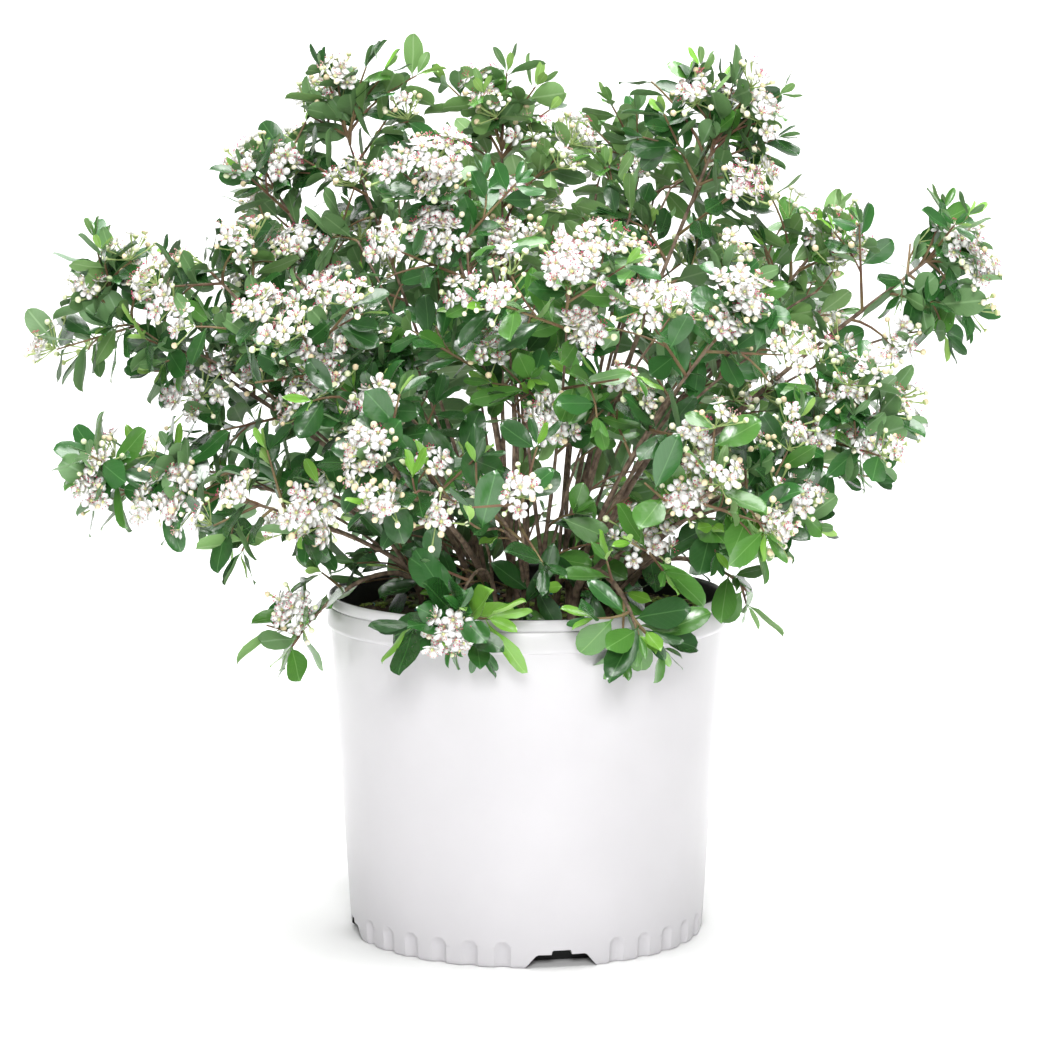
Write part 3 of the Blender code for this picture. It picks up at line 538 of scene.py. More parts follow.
# Shoots: tip x, y and z, how upright it starts, where its foliage starts, twigs, longest twig, leaf size
shoots = {
    "left_arm": (-0.298, 0.000, 0.446, 0.75, 0.40, 8, 0.066, 1.05),
    "left_low": (-0.285, -0.060, 0.332, 0.70, 0.46, 6, 0.055, 1.0),
    "left_under": (-0.182, -0.120, 0.318, 0.62, 0.54, 4, 0.045, 0.9),
    "left_shoulder": (-0.215, -0.055, 0.468, 0.78, 0.44, 5, 0.060, 1.0),
    "left_upper": (-0.184, 0.030, 0.535, 0.80, 0.42, 7, 0.065, 1.05),
    "top_left": (-0.130, 0.040, 0.570, 0.90, 0.46, 7, 0.065, 1.05),
    "top": (-0.018, 0.060, 0.560, 0.95, 0.46, 7, 0.070, 1.05),
    "top_mid_right": (0.082, 0.080, 0.542, 0.95, 0.46, 6, 0.068, 1.05),
    "top_right": (0.134, -0.020, 0.566, 0.85, 0.52, 8, 0.062, 1.05),
    "right_upper": (0.210, 0.030, 0.488, 0.80, 0.44, 7, 0.062, 1.05),
    "right_arm": (0.286, -0.020, 0.482, 0.70, 0.48, 8, 0.064, 1.0),
    "right_mid": (0.238, -0.060, 0.368, 0.70, 0.46, 8, 0.062, 1.0),
    "right_low": (0.162, -0.125, 0.322, 0.60, 0.50, 5, 0.048, 0.95),
    "rim_left": (-0.157, -0.076, 0.218, 1.00, 0.62, 3, 0.030, 0.9),
    "rim_front": (-0.047, -0.170, 0.243, 1.00, 0.62, 3, 0.034, 0.85),
    "rim_front_right": (0.072, -0.162, 0.240, 1.00, 0.62, 3, 0.034, 0.85),
    "rim_right": (0.150, -0.058, 0.250, 1.00, 0.62, 3, 0.030, 0.8),
    "front_left": (-0.143, -0.165, 0.428, 0.80, 0.40, 6, 0.065, 1.0),
    "front_left_low": (-0.095, -0.205, 0.358, 0.75, 0.44, 5, 0.058, 1.0),
    "front_top": (-0.052, -0.115, 0.515, 0.90, 0.42, 7, 0.065, 1.0),
    "front_centre": (0.026, -0.165, 0.462, 0.85, 0.40, 6, 0.068, 1.0),
    "front_right": (0.135, -0.155, 0.443, 0.80, 0.42, 6, 0.065, 1.0),
    "front_right_low": (0.122, -0.188, 0.335, 0.75, 0.44, 5, 0.055, 1.0),
    "front_low": (-0.005, -0.215, 0.330, 0.75, 0.46, 4, 0.055, 1.0),
    "back_left": (-0.165, 0.180, 0.455, 0.80, 0.40, 6, 0.075, 1.1),
    "back_top": (-0.010, 0.190, 0.505, 0.85, 0.40, 7, 0.075, 1.1),
    "back_right": (0.165, 0.180, 0.445, 0.80, 0.40, 6, 0.075, 1.1),
    "back_left_low": (-0.120, 0.215, 0.325, 0.75, 0.42, 5, 0.070, 1.1),
    "back_right_low": (0.128, 0.210, 0.330, 0.75, 0.42, 6, 0.070, 1.1),
}

# Flower clusters that stand out in front: how far up its shoot each leaves, and the cluster's x and z
frontClusters = {
    "left_arm": ((0.93, -0.305, 0.455, 0.7), (0.90, -0.260, 0.470, 0.6), (0.65, -0.235, 0.375)),
    "left_low": ((0.95, -0.297, 0.343, 0.6), (0.95, -0.300, 0.312, 0.9), (0.78, -0.256, 0.305), (0.72, -0.240, 0.330)),
    "left_shoulder": ((0.95, -0.195, 0.492), (0.80, -0.172, 0.448)),
    "left_upper": ((0.93, -0.168, 0.545), (0.93, -0.203, 0.540), (0.72, -0.164, 0.485, 1.2), (0.62, -0.150, 0.450, 1.2)),
    "top_left": ((0.95, -0.133, 0.605),),
    "top": ((0.95, -0.036, 0.600), (0.93, 0.013, 0.562), (0.75, -0.005, 0.520, 1.2), (0.65, -0.019, 0.490, 1.2)),
    "top_mid_right": ((0.93, 0.080, 0.540),),
    "top_right": ((0.95, 0.111, 0.590), (0.95, 0.158, 0.600, 0.25), (0.95, 0.166, 0.573, 0.6), (0.85, 0.166, 0.533, 0.5)),
    "right_upper": ((0.93, 0.208, 0.497), (0.95, 0.229, 0.472, 0.4)),
    "right_arm": ((0.95, 0.303, 0.490, 0.8), (0.95, 0.318, 0.462, 0.8), (0.75, 0.261, 0.410, 0.6)),
    "right_mid": ((0.95, 0.215, 0.392, 0.8), (0.78, 0.203, 0.354, 0.8), (0.90, 0.236, 0.345, 0.7)),
    "right_low": ((0.95, 0.187, 0.316, 0.6), (0.95, 0.167, 0.290, 0.5)),
    "rim_left": ((0.85, -0.164, 0.241),),
    "rim_front": ((0.93, -0.050, 0.236, 1.5),),
    "front_left": ((0.88, -0.134, 0.424, 1.2), (0.57, -0.097, 0.380, 1.2), (0.80, -0.147, 0.400, 1.1)),
    "front_left_low": ((0.93, -0.112, 0.351), (0.70, -0.062, 0.353)),
    "front_top": ((0.95, -0.063, 0.555, 1.2), (0.85, -0.064, 0.496, 1.2)),
    "front_centre": ((0.93, 0.031, 0.482, 1.2), (0.78, 0.041, 0.436, 1.2), (0.62, 0.016, 0.366, 0.9)),
    "front_right": ((0.95, 0.144, 0.466), (0.90, 0.135, 0.440)),
    "front_right_low": ((0.47, 0.082, 0.294, 1.4), (0.72, 0.106, 0.323)),
}

# Leafy shoots without flowers that stand out, given in the same way, with their leaves' size and tint
leafyShoots = {
    "left_arm": ((0.93, -0.298, 0.488, 1.0, 1), (0.88, -0.290, 0.426, 0.95, 2), (0.70, -0.226, 0.430, 1.0, 0)),
    "left_under": ((0.90, -0.190, 0.285, 1.0, 0),),
    "front_top": ((0.93, -0.073, 0.548, 1.0, 0),),
    "top_left": ((0.95, -0.077, 0.600, 1.3, 1), (0.95, -0.100, 0.600, 1.3, 2), (0.95, -0.142, 0.604, 1.1, 0), (0.93, -0.112, 0.606, 1.2, 0)),
    "top": ((0.95, 0.006, 0.592, 1.2, 1), (0.93, -0.056, 0.594, 1.1, 2), (0.93, 0.016, 0.576, 1.0, 1), (0.95, -0.014, 0.602, 1.2, 0)),
    "top_mid_right": ((0.95, 0.060, 0.580, 1.1, 1), (0.93, 0.078, 0.574, 1.0, 2)),
    "top_right": ((0.95, 0.140, 0.592, 1.5, 0), (0.90, 0.085, 0.596, 1.1, 0), (0.93, 0.118, 0.606, 1.0, 1), (0.92, 0.172, 0.586, 1.0, 1)),
    "right_upper": ((0.85, 0.170, 0.517, 1.1, 1), (0.80, 0.166, 0.482, 1.0, 0)),
    "right_arm": ((0.93, 0.285, 0.508, 1.1, 1), (0.95, 0.300, 0.440, 1.15, 2), (0.88, 0.258, 0.450, 1.0, 0), (0.90, 0.288, 0.424, 1.1, 0)),
    "right_mid": ((0.80, 0.196, 0.396, 1.0, 1),),
    "rim_front": ((0.90, -0.074, 0.242, 1.2, 0), (0.94, -0.026, 0.248, 1.1, 3), (0.80, -0.054, 0.262, 1.1, 2)),
    "rim_front_right": ((0.90, 0.045, 0.246, 0.85, 2), (0.93, 0.078, 0.238, 1.10, 0)),
}
# How open the flowers of a mass are where the photo shows mostly buds
opening = {"right_arm": 0.35, "left_arm": 0.7, "left_under": 0.5, "left_low": 0.7, "top_left": 0.8, "right_low": 0.4, "right_mid": 0.4,
           "front_right_low": 0.6, "right_upper": 0.6, "top": 1.2, "front_top": 1.2, "front_left": 1.2, "front_centre": 1.2}

limb = {"footRing": (0.014, 0.080), "footSpacing": 0.0125, "sway": 0.06, "footRadius": 0.0030, "entryRadius": 0.0019,
        "tipRadius": 0.0010, "points": 44, "sunk": 0.006, "slimmest": 0.52, "forkRadius": 0.0017,
        "forkSpread": (0.024, 0.046), "forkBow": (0.008, 0.034)}


def shootFeet():
    feet = {}
    for name, (x, y, z, *_) in shoots.items():
        reach = math.hypot(x, y)
        steepness = math.atan2(max(z - soil["top"], 0.0), reach) / (math.pi / 2)
        radius = limb["footRing"][1] + (limb["footRing"][0] - limb["footRing"][1]) * steepness
        feet[name] = Vector((x, y)) / reach * radius
    names = list(feet)
    for _ in range(60):
        for index, first in enumerate(names):
            for second in names[index + 1:]:
                apart = feet[second] - feet[first]
                missing = limb["footSpacing"] - apart.length
                if missing > 0:
                    push = apart.normalized() * missing / 2
                    feet[first] -= push
                    feet[second] += push
    return feet


# The curve of a shoot's main stem: it starts more upright than it ends and sways a little
def shootAxis(foot, name, count=13):
    x, y, z, upright, *_ = shoots[name]
    rng = random.Random(name + " axis")
    start = Vector((foot.x, foot.y, soil["top"]))
    tip = Vector((x, y, z))
    span = tip - start
    reach = span.length
    across = Vector((-span.y, span.x, 0)).normalized()
    rising = (span.normalized().lerp(up, upright)).normalized()
    droops = upright == 1.0
    first = start + rising * reach * (0.62 if droops else 0.30)
    last = start.lerp(tip, 0.72) + up * reach * (0.36 if droops else 0.04)
    first += across * reach * rng.uniform(-limb["sway"], limb["sway"])
    last += across * reach * rng.uniform(-limb["sway"], limb["sway"])
    points = []
    for index in range(count):
        t = index / (count - 1)
        s = 1 - t
        points.append(start * s ** 3 + first * 3 * s * s * t + last * 3 * s * t * t + tip * t ** 3)
    return points


def pointAlong(points, share):
    place = min(max(share, 0.0), 1.0) * (len(points) - 1)
    index = min(int(place), len(points) - 2)
    return points[index].lerp(points[index + 1], place - index)


def directionAlong(points, share, step=0.04):
    return (pointAlong(points, share + step) - pointAlong(points, share - step)).normalized()


# The twigs of a mass as the CAD model has them: start, heading, length, and whether flowers end it
def twigWays(foot, name):
    entry, twigs, longest = shoots[name][4:7]
    axis = shootAxis(foot, name)
    points = [pointAlong(axis, entry + (1 - entry) * i / 4) for i in range(5)]
    rng = random.Random(name + " twigs")
    turn = rng.uniform(0, fullTurn)
    ways = []
    for index in range(twigs):
        share = 0.12 + 0.80 * index / (twigs - 1)
        along = directionAlong(points, share, 0.08)
        around = Matrix.Rotation(turn + index * goldenAngle, 3, along) @ along.orthogonal().normalized()
        heading = (along * 0.6 + around + up * 0.2).normalized()
        length = longest * (0.55 + 0.45 * math.sin(math.pi * (0.15 + 0.75 * share))) * rng.uniform(0.9, 1.1)
        ways.append((pointAlong(points, share), heading, length, rng.random() < habit["blossomShare"]))
    return ways


def bend(start, middle, end, count):
    ts = [i / (count - 1) for i in range(count)]
    return [start * (1 - t) ** 2 + middle * 2 * t * (1 - t) + end * t * t for t in ts]


def jitter(rng, most):
    return Vector([rng.uniform(-most, most) for _ in range(3)])


# Keeps what grows within the CAD model's reach, give or take a leaf's edge
def inReach(point, margin):
    return all(low - margin < v < high + margin for v, low, high in zip(point, *cadBox))


# Leaves: obovate to oval, glossy above, matt grey-green below, folded a little along a pale midrib
leaf = {"length": 0.0315, "width": 0.0168, "lowSize": 1.26, "highSize": 0.84, "lowest": 0.24, "highest": 0.50, "margin": 0.012,
        "clear": 0.010}


def leafShape(name, fold, droop, curl, narrow=1.0):
    stations = [(0.0, 0.04), (0.11, 0.08), (0.25, 0.50), (0.42, 0.84), (0.60, 1.0), (0.77, 0.92), (0.90, 0.65), (0.97, 0.34)]
    verts, uvs = [], []

    def put(x, t, lift):
        verts.append((x, t, lift))
        uvs.append((x + 0.5, t))
        return len(verts) - 1

    rows = []
    for t, half in stations:
        half *= 0.5 * narrow
        middle = -droop * t * t + 0.012 * math.sin(t * 9)
        edge = middle + fold * half - curl * half * half
        rows.append((put(-half, t, edge), put(0, t, middle + 0.008), put(0, t, middle - 0.008), put(half, t, edge)))
    tip = put(0.0, 1.0, -droop - 0.02)
    faces, sides, rims = [], [], []
    for (l1, a1, b1, r1), (l2, a2, b2, r2) in zip(rows, rows[1:]):
        faces += [(l1, a1, a2), (l1, a2, l2), (a1, r1, r2), (a1, r2, a2)]
        faces += [(b2, b1, l1), (l2, b2, l1), (r2, r1, b1), (b2, r2, b1)]
        sides += [0] * 4 + [1] * 4
        rims += [(l1, l2), (r1, r2)]
    l1, a1, b1, r1 = rows[-1]
    faces += [(l1, a1, tip), (a1, r1, tip), (tip, b1, l1), (tip, r1, b1)]
    l1, a1, b1, r1 = rows[0]
    faces += [(l1, b1, a1), (a1, b1, r1)]
    sides += [0, 0, 1, 1, 1, 1]
    rims += [(rows[-1][0], tip), (rows[-1][3], tip)]
    return shapeOf(name, verts, faces, sides, uvs=uvs, sharp=rims)


# Flowers: five round white petals, cupped; a ring of rose stamens; round cream buds on long stalks
flower = {"across": 0.0143, "petalCup": 0.14, "stamens": 9, "clusterRadius": 0.0205, "stalk": 0.016, "budSize": 0.0044,
          "open": (9, 14), "buds": (3, 7)}


def flowerShape(name, rise, dip=0.06):
    verts, faces = [], []
    outline = [(0.0, 0.08), (0.28, 0.40), (0.355, 0.72), (0.18, 0.98), (-0.18, 0.98), (-0.355, 0.72), (-0.28, 0.40)]
    for petal in range(5):
        turn = Matrix.Rotation(fullTurn * petal / 5, 3, "Z")
        first = len(verts)
        for x, r in outline:
            z = rise * r * r + flower["petalCup"] * abs(x)
            verts.append(turn @ Vector((x / 2, r / 2, z / 2)))
        for layer in (1, -1):
            verts.append(turn @ Vector((0, 0.32, (rise * 0.40 - dip + layer * 0.02) / 2)))
        size = len(outline)
        for i in range(size):
            j = (i + 1) % size
            faces.append((first + j, first + i, first + size))
            faces.append((first + i, first + j, first + size + 1))
    return shapeOf(name, verts, faces)


def stamenShape(name, height, spread):
    verts, faces, sides = [], [], []
    rng = random.Random(name)
    tall, wide = 0.056, 0.045
    for stamen in range(flower["stamens"]):
        angle = fullTurn * (stamen + rng.uniform(-0.25, 0.25)) / flower["stamens"]
        out = Vector((math.cos(angle), math.sin(angle), 0))
        across = Vector((-out.y, out.x, 0))
        head = out * spread * rng.uniform(0.7, 1.2) + up * height * rng.uniform(0.8, 1.2)
        first = len(verts)
        foot = out * 0.05
        verts += [foot + across * 0.02, foot - across * 0.02, head]
        verts += [head + across * wide - out * wide * 0.6, head - across * wide - out * wide * 0.6, head + out * wide, head + up * tall]
        faces += [(first, first + 2, first + 1), (first, first + 1, first + 2)]
        faces += [(first + 3 + a, first + 3 + b, first + 3 + c) for a, b, c in ((1, 0, 2), (0, 1, 3), (1, 2, 3), (2, 0, 3))]
        sides += [1] * 2 + [0] * 4
    first = len(verts)
    verts += [Vector((0.10 * math.cos(fullTurn * i / 5), 0.10 * math.sin(fullTurn * i / 5), 0.02)) for i in range(5)]
    verts += [Vector((0, 0, 0.15)), Vector((0, 0, -0.03))]
    for i in range(5):
        j = (i + 1) % 5
        faces += [(first + i, first + j, first + 5), (first + j, first + i, first + 6)]
        sides += [2, 2]
    return shapeOf(name, verts, faces, sides)


def budShape(name):
    bm = bmesh.new()
    bmesh.ops.create_uvsphere(bm, u_segments=7, v_segments=5, radius=0.5)
    verts = [v.co.copy() for v in bm.verts]
    faces = [tuple(v.index for v in f.verts) for f in bm.faces]
    bm.free()
    sides = [1 if sum(verts[i].z for i in f) / len(f) < -0.25 else 0 for f in faces]
    return shapeOf(name, verts, faces, sides)


# What each side shoot carries: leaves on the twig and on its spur, and how often flowers end them
habit = {"twigLeaves": 8, "spurLeaves": 4, "tipLeaves": 5, "sprayLeaves": 4, "blossomShare": 0.55, "spurBlossom": 0.36, "twigRadius": 0.0012,
         "frontReach": 0.020, "clusterStalk": 0.012, "forkLeaves": 3, "rimLeaves": 3, "leafyLeaves": 6, "lowShares": (0.06, 0.14, 0.24),
         "lowReach": (0.030, 0.058), "lowLeaves": 3, "lowShare": 0.75, "cutBack": 0.45}
# How many leaves a mass keeps: fewer low down in front, where the photo shows the stems, more along the top
fullness = {"front_low": 0.25, "front_left_low": 0.4, "front_right_low": 0.5, "front_centre": 0.8, "front_left": 0.85, "left_under": 0.5,
            "right_low": 0.8, "top_left": 1.3, "top": 1.3, "top_right": 1.3, "left_arm": 1.2, "left_low": 0.7, "right_upper": 0.85, "right_mid": 0.8, "left_shoulder": 1.2}
# Stems that run bare up to their foliage, with one fork at the foot only
bareArms = ("right_arm",)
# The stretches of stem that the photo shows bare: no leaf hangs in front of them as seen from the photo's place
bareStretches = {"top_right": (0.44, 0.90), "top_left": (0.60, 0.86), "top": (0.66, 0.84), "right_arm": (0.34, 0.78), "right_mid": (0.22, 0.60),
                 "right_low": (0.20, 0.50), "right_upper": (0.20, 0.38), "left_arm": (0.54, 0.72), "left_low": (0.10, 0.66),
                 "left_upper": (0.10, 0.30), "front_left": (0.10, 0.34), "front_top": (0.16, 0.34), "front_centre": (0.22, 0.34)}
# Stems that the photo shows thinner than the rest
slender = {"left_low": 0.58, "left_under": 0.7, "rim_front": 0.8}
photoPlace = Vector((0.0, -2.42, 0.60))
# Where the photo shows sky round the crown's edge: x and z beside the pot's axis, and how wide
skyGaps = ((0.258, 0.496, 0.020), (0.230, 0.455, 0.016), (-0.322, 0.490, 0.014), (-0.229, 0.492, 0.013), (-0.290, 0.366, 0.013),
           (-0.264, 0.366, 0.016), (-0.234, 0.268, 0.018), (-0.260, 0.272, 0.016), (-0.198, 0.225, 0.015), (0.201, 0.268, 0.016),
           (0.172, 0.236, 0.016), (0.232, 0.300, 0.018), (-0.167, 0.576, 0.013), (0.078, 0.612, 0.012), (0.186, 0.576, 0.012),
           (-0.292, 0.276, 0.018), (-0.326, 0.300, 0.016), (-0.172, 0.264, 0.015), (0.204, 0.520, 0.011), (0.232, 0.424, 0.011))


class Shrub:
    def __init__(self, feet):
        shown = []
        for name, (low, high) in bareStretches.items():
            axis = shootAxis(feet[name], name, limb["points"])
            shown += [pointAlong(axis, share) - photoPlace for share in np.arange(low, high, 0.02)]
        self.shownFar = np.array([point.length for point in shown])
        self.shownWay = np.array([point.normalized() for point in shown])
        self.leaves, self.flowers, self.stamens, self.buds = Spots(), Spots(), Spots(), Spots()
        self.boughs, self.twigs, self.stalks = [], [], []

    # Whether something at this place would fill a gap in the crown's edge
    def fills(self, place):
        beside = photoPlace + (place - photoPlace) * (photoPlace.y / (photoPlace.y - place.y))
        return any(math.hypot(beside.x - x, beside.z - z) < wide for x, z, wide in skyGaps)

    # Whether something at this place would hide a bare stretch of stem
    def hides(self, place):
        way = np.array(place - photoPlace)
        along = self.shownWay @ way
        return bool(((along < self.shownFar - 0.003) & (way @ way - along * along < leaf["clear"] ** 2)).any())

    # A leaf that leaves its twig at a slant; its upper face looks up and outwards
    def leaf(self, rng, origin, along, roll, size, tint, young=False):
        around = Matrix.Rotation(roll, 3, along) @ along.orthogonal().normalized()
        heading = along * (1.1 if young else 0.6) + around * (0.45 if young else 1.0) + up * 0.08 + jitter(rng, 0.2)
        heading.normalize()
        outward = Vector((origin.x, origin.y, 0)).normalized()
        face = up * 0.6 + outward * 0.7 - around * 0.2 + jitter(rng, 0.65)
        height = min(max((origin.z - leaf["lowest"]) / (leaf["highest"] - leaf["lowest"]), 0.0), 1.0)
        size *= leaf["lowSize"] + (leaf["highSize"] - leaf["lowSize"]) * height
        length = leaf["length"] * size * rng.uniform(0.80, 1.22)
        width = leaf["width"] * size * rng.uniform(0.80, 1.15) * (0.66 if young else 1.0)
        shape = rng.randrange(4)
        middle = origin + heading * length * 0.55
        if inReach(origin + heading * length, leaf["margin"]) and not (self.hides(middle) or self.fills(middle)):
            self.leaves.add(origin, heading, face, (width, length, length), shape, tint)

    # One flower or bud on its stalk
    def bloom(self, rng, root, place, facing, around, isOpen, spent):
        if not inReach(place, leaf["margin"] / 2) or self.fills(place):
            return
        middle = root.lerp(place, 0.5) + around * 0.0012
        wide = 0.0010 if isOpen else 0.0008
        self.stalks.append(([root, middle, place - facing * 0.0006], [0.00050, 0.00038, wide]))
        spin = around + jitter(rng, 1.0)
        spin -= facing * spin.dot(facing)
        if isOpen:
            across = flower["across"] * rng.uniform(0.85, 1.12)
            self.flowers.add(place, spin, facing, (across,) * 3, rng.choice((0, 0, 1, 1, 2)))
            self.stamens.add(place, spin, facing, (across,) * 3, rng.randrange(2), spent)
        else:
            bud = flower["budSize"] * rng.uniform(0.75, 1.15)
            self.buds.add(place + facing * bud * 0.35, spin, facing, (bud,) * 3, 0, rng.randrange(3))

    # A loose flat-topped cluster: flowers nearest its middle, buds round them on longer stalks
    def cluster(self, rng, tip, lean, openShare, size=1.0):
        side = lean.orthogonal().normalized()
        turn = rng.uniform(0, fullTurn)
        openCount = round(rng.randint(*flower["open"]) * openShare * size)
        count = openCount + rng.randint(*flower["buds"]) + round(4 * (1 - openShare))
        order = [True] * openCount + [False] * (count - openCount)
        wide = size * math.sqrt(max(openShare, 1.0))
        oblong = rng.uniform(0.75, 1.30)
        faded = rng.uniform(0.0, 0.8)
        for index, isOpen in enumerate(order):
            share = math.sqrt((index + 0.6) / count) * rng.uniform(0.75, 1.15)
            around = Matrix.Rotation(turn + index * goldenAngle, 3, lean) @ side
            spread = around + side * around.dot(side) * (oblong - 1)
            rise = flower["stalk"] * (1.0 - 0.45 * share * share) * rng.uniform(0.55, 1.25)
            place = tip + spread * flower["clusterRadius"] * wide * share + lean * rise + jitter(rng, 0.0015)
            facing = (lean + around * 0.9 * share + jitter(rng, 0.5)).normalized()
            self.bloom(rng, tip + lean * rise * 0.15, place, facing, around, isOpen, int(rng.random() < faded))

    # A side shoot: a bending twig, leaves spiralling up it, and flowers or young leaves at its end
    def spray(self, rng, start, tip, along, tint, leaves, leafSize, blossom, openShare, radius=habit["twigRadius"], towards=None):
        if blossom:
            tip = Vector([min(max(v, low + leaf["margin"]), high - leaf["margin"]) for v, low, high in zip(tip, *cadBox)])
        if self.fills(tip):
            tip = start.lerp(tip, habit["cutBack"])
        span = tip - start
        reach = span.length
        points = bend(start, start + (along * 0.35 + span.normalized() * 0.65) * reach * 0.5, tip, max(4, int(reach / 0.010) + 2))
        last = len(points) - 1
        self.twigs.append((points, [radius + (0.00065 - radius) * i / last for i in range(last + 1)]))
        heading = (points[-1] - points[-2]).normalized()
        roll = rng.uniform(0, fullTurn)
        for index in range(leaves):
            share = 0.20 + 0.76 * index / max(leaves - 1, 1)
            size = leafSize * (0.72 + 0.34 * math.sin(math.pi * (0.15 + 0.7 * share)))
            own = tint if rng.random() < 0.75 else rng.randrange(3)
            self.leaf(rng, pointAlong(points, share), directionAlong(points, share), roll + index * goldenAngle, size, own)
        if blossom:
            openShare *= self.opening
            outward = Vector((tip.x, tip.y, 0)).normalized()
            lean = (up * 0.6 + (towards or outward) * 0.6 + heading * 0.5).normalized()
            self.cluster(rng, tip, lean, openShare, rng.uniform(0.65, 1.12))
        else:
            for index in range(3):
                self.leaf(rng, tip, heading, roll + index * 2.1, leafSize * 0.62, 3 if rng.random() < 0.35 else tint, True)
        return points

    # A thinner second stem that forks off at this share of the main one and rises beside it
    def fork(self, rng, axis, low, tint, leafSize, leaves):
        high = rng.uniform(0.70, 0.92)
        side = directionAlong(axis, low).orthogonal().normalized()
        side = Matrix.Rotation(rng.uniform(0, fullTurn), 3, directionAlong(axis, low)) @ side
        start, end = pointAlong(axis, low), pointAlong(axis, high) + side * rng.uniform(*limb["forkSpread"])
        middle = start + directionAlong(axis, low) * (end - start).length * 0.55 + side * rng.uniform(*limb["forkBow"])
        points = bend(start, middle, end, 20)
        radius = limb["forkRadius"] * rng.uniform(0.60, 1.0)
        self.boughs.append((points, [radius + (0.0008 - radius) * i / 19 for i in range(20)]))
        for index, share in enumerate((0.58, 0.80, 1.0)):
            origin, along = pointAlong(points, share), directionAlong(points, share)
            around = Matrix.Rotation(index * goldenAngle, 3, along) @ side
            reach = rng.uniform(0.018, 0.030)
            self.spray(rng, origin, origin + (along * 0.9 + around).normalized() * reach, along, tint, leaves, leafSize, rng.random() < 0.25, rng.uniform(0.2, 0.8), 0.0009)

    # Short leafy sprays just above the soil, leaning outwards
    def lowSprays(self, rng, axis, tint, full):
        for share in habit["lowShares"]:
            if rng.random() > full * habit["lowShare"]:
                continue
            start = pointAlong(axis, share * rng.uniform(0.8, 1.2))
            outward = Vector((axis[0].x, axis[0].y, 0)).normalized() + jitter(rng, 0.7)
            reach = rng.uniform(*habit["lowReach"])
            tip = start + Vector((outward.x, outward.y, rng.uniform(0.05, 0.6))).normalized() * reach
            if math.hypot(tip.x, tip.y) < soil["radius"]:
                self.spray(rng, start, tip, up, tint, habit["lowLeaves"], rng.uniform(0.75, 1.0), False, 0.0, 0.0009)

    def shoot(self, name, foot):
        x, y, z, upright, entry, twigs, longest, leafSize = shoots[name]
        onRim = name.startswith("rim_")
        rng = random.Random(name + " leaves")
        full = fullness.get(name, 1.0)
        self.opening = opening.get(name, 1.0)
        axis = shootAxis(foot, name, limb["points"])
        below = axis[0] - (axis[1] - axis[0]).normalized() * limb["sunk"]
        slim = (limb["slimmest"] + (1 - limb["slimmest"]) * rng.random()) * slender.get(name, 1.0)
        radii = []
        for index in range(limb["points"]):
            t = index / (limb["points"] - 1)
            thick = limb["footRadius"] + (limb["entryRadius"] - limb["footRadius"]) * min(t / entry, 1.0)
            if t > entry:
                thick = limb["entryRadius"] + (limb["tipRadius"] - limb["entryRadius"]) * (t - entry) / (1 - entry)
            radii.append(thick * slim * (1.12 if index % 6 == 3 else 1.0) * (1.2 if index < 2 else 1.0))
        self.boughs.append(([below] + axis, [radii[0] * 1.15] + radii))
        tint = rng.randrange(3)
        twigLeaves = habit["rimLeaves"] if onRim else round(habit["twigLeaves"] * full)
        for index, (start, heading, length, blossom) in enumerate(twigWays(foot, name)):
            blossom = blossom and not onRim
            sparse = name in bareArms and index < twigs // 2
            points = self.spray(rng, start, start + heading * length, heading, tint, 3 if sparse else twigLeaves, leafSize, blossom, rng.uniform(0.35, 1.0))
            if onRim or sparse or rng.random() > full:
                continue
            middle, out = pointAlong(points, 0.45), directionAlong(points, 0.45)
            offset = Matrix.Rotation(rng.uniform(0, fullTurn), 3, out) @ out.orthogonal().normalized()
            spur = (out * 0.7 + offset + up * 0.3).normalized() * length * 0.5
            flowering = rng.random() < habit["spurBlossom"]
            self.spray(rng, middle, middle + spur, out, tint, habit["spurLeaves"], leafSize * 0.9, flowering, rng.uniform(0.2, 0.7), 0.0008)
        along = directionAlong(axis, 1.0)
        tipLeaves = habit["rimLeaves"] if onRim else round(habit["tipLeaves"] * max(full, 1.0))
        self.spray(rng, axis[-2], axis[-1] + along * 0.006, along, tint, tipLeaves, leafSize, not onRim, rng.uniform(0.5, 1.0))
        self.opening = 1.0
        for share, px, pz, *opened in frontClusters.get(name, ()):
            start = pointAlong(axis, share)
            middle = Vector((px, start.y - habit["frontReach"], pz))
            end = middle - (middle - start).normalized() * habit["clusterStalk"]
            self.spray(rng, start, end, directionAlong(axis, share), tint, round(habit["sprayLeaves"] * max(full, 1.0)), leafSize, True, opened[0] if opened else rng.uniform(0.65, 1.0), towards=Vector((0, -1, -1.1 if onRim else 0)))
        for share, px, pz, size, own in leafyShoots.get(name, ()):
            start = pointAlong(axis, share)
            end = Vector((px, start.y - habit["frontReach"] / 2, pz))
            self.spray(rng, start, end, directionAlong(axis, share), own, habit["rimLeaves"] if onRim else habit["leafyLeaves"], size, False, 0.0)
        if not onRim:
            for low in (0.0,) if name in bareArms else (0.0, entry * rng.uniform(0.3, 0.7)):
                self.fork(rng, axis, low, tint, leafSize, round(habit["forkLeaves"] * full))
            self.lowSprays(rng, axis, tint, full)


# Relief of the blade in millimetres: soft swells between the veins; the veins' own share of it
leafRelief = {"size": 9.0, "height": 0.5, "vein": 0.015, "shine": 0.8}


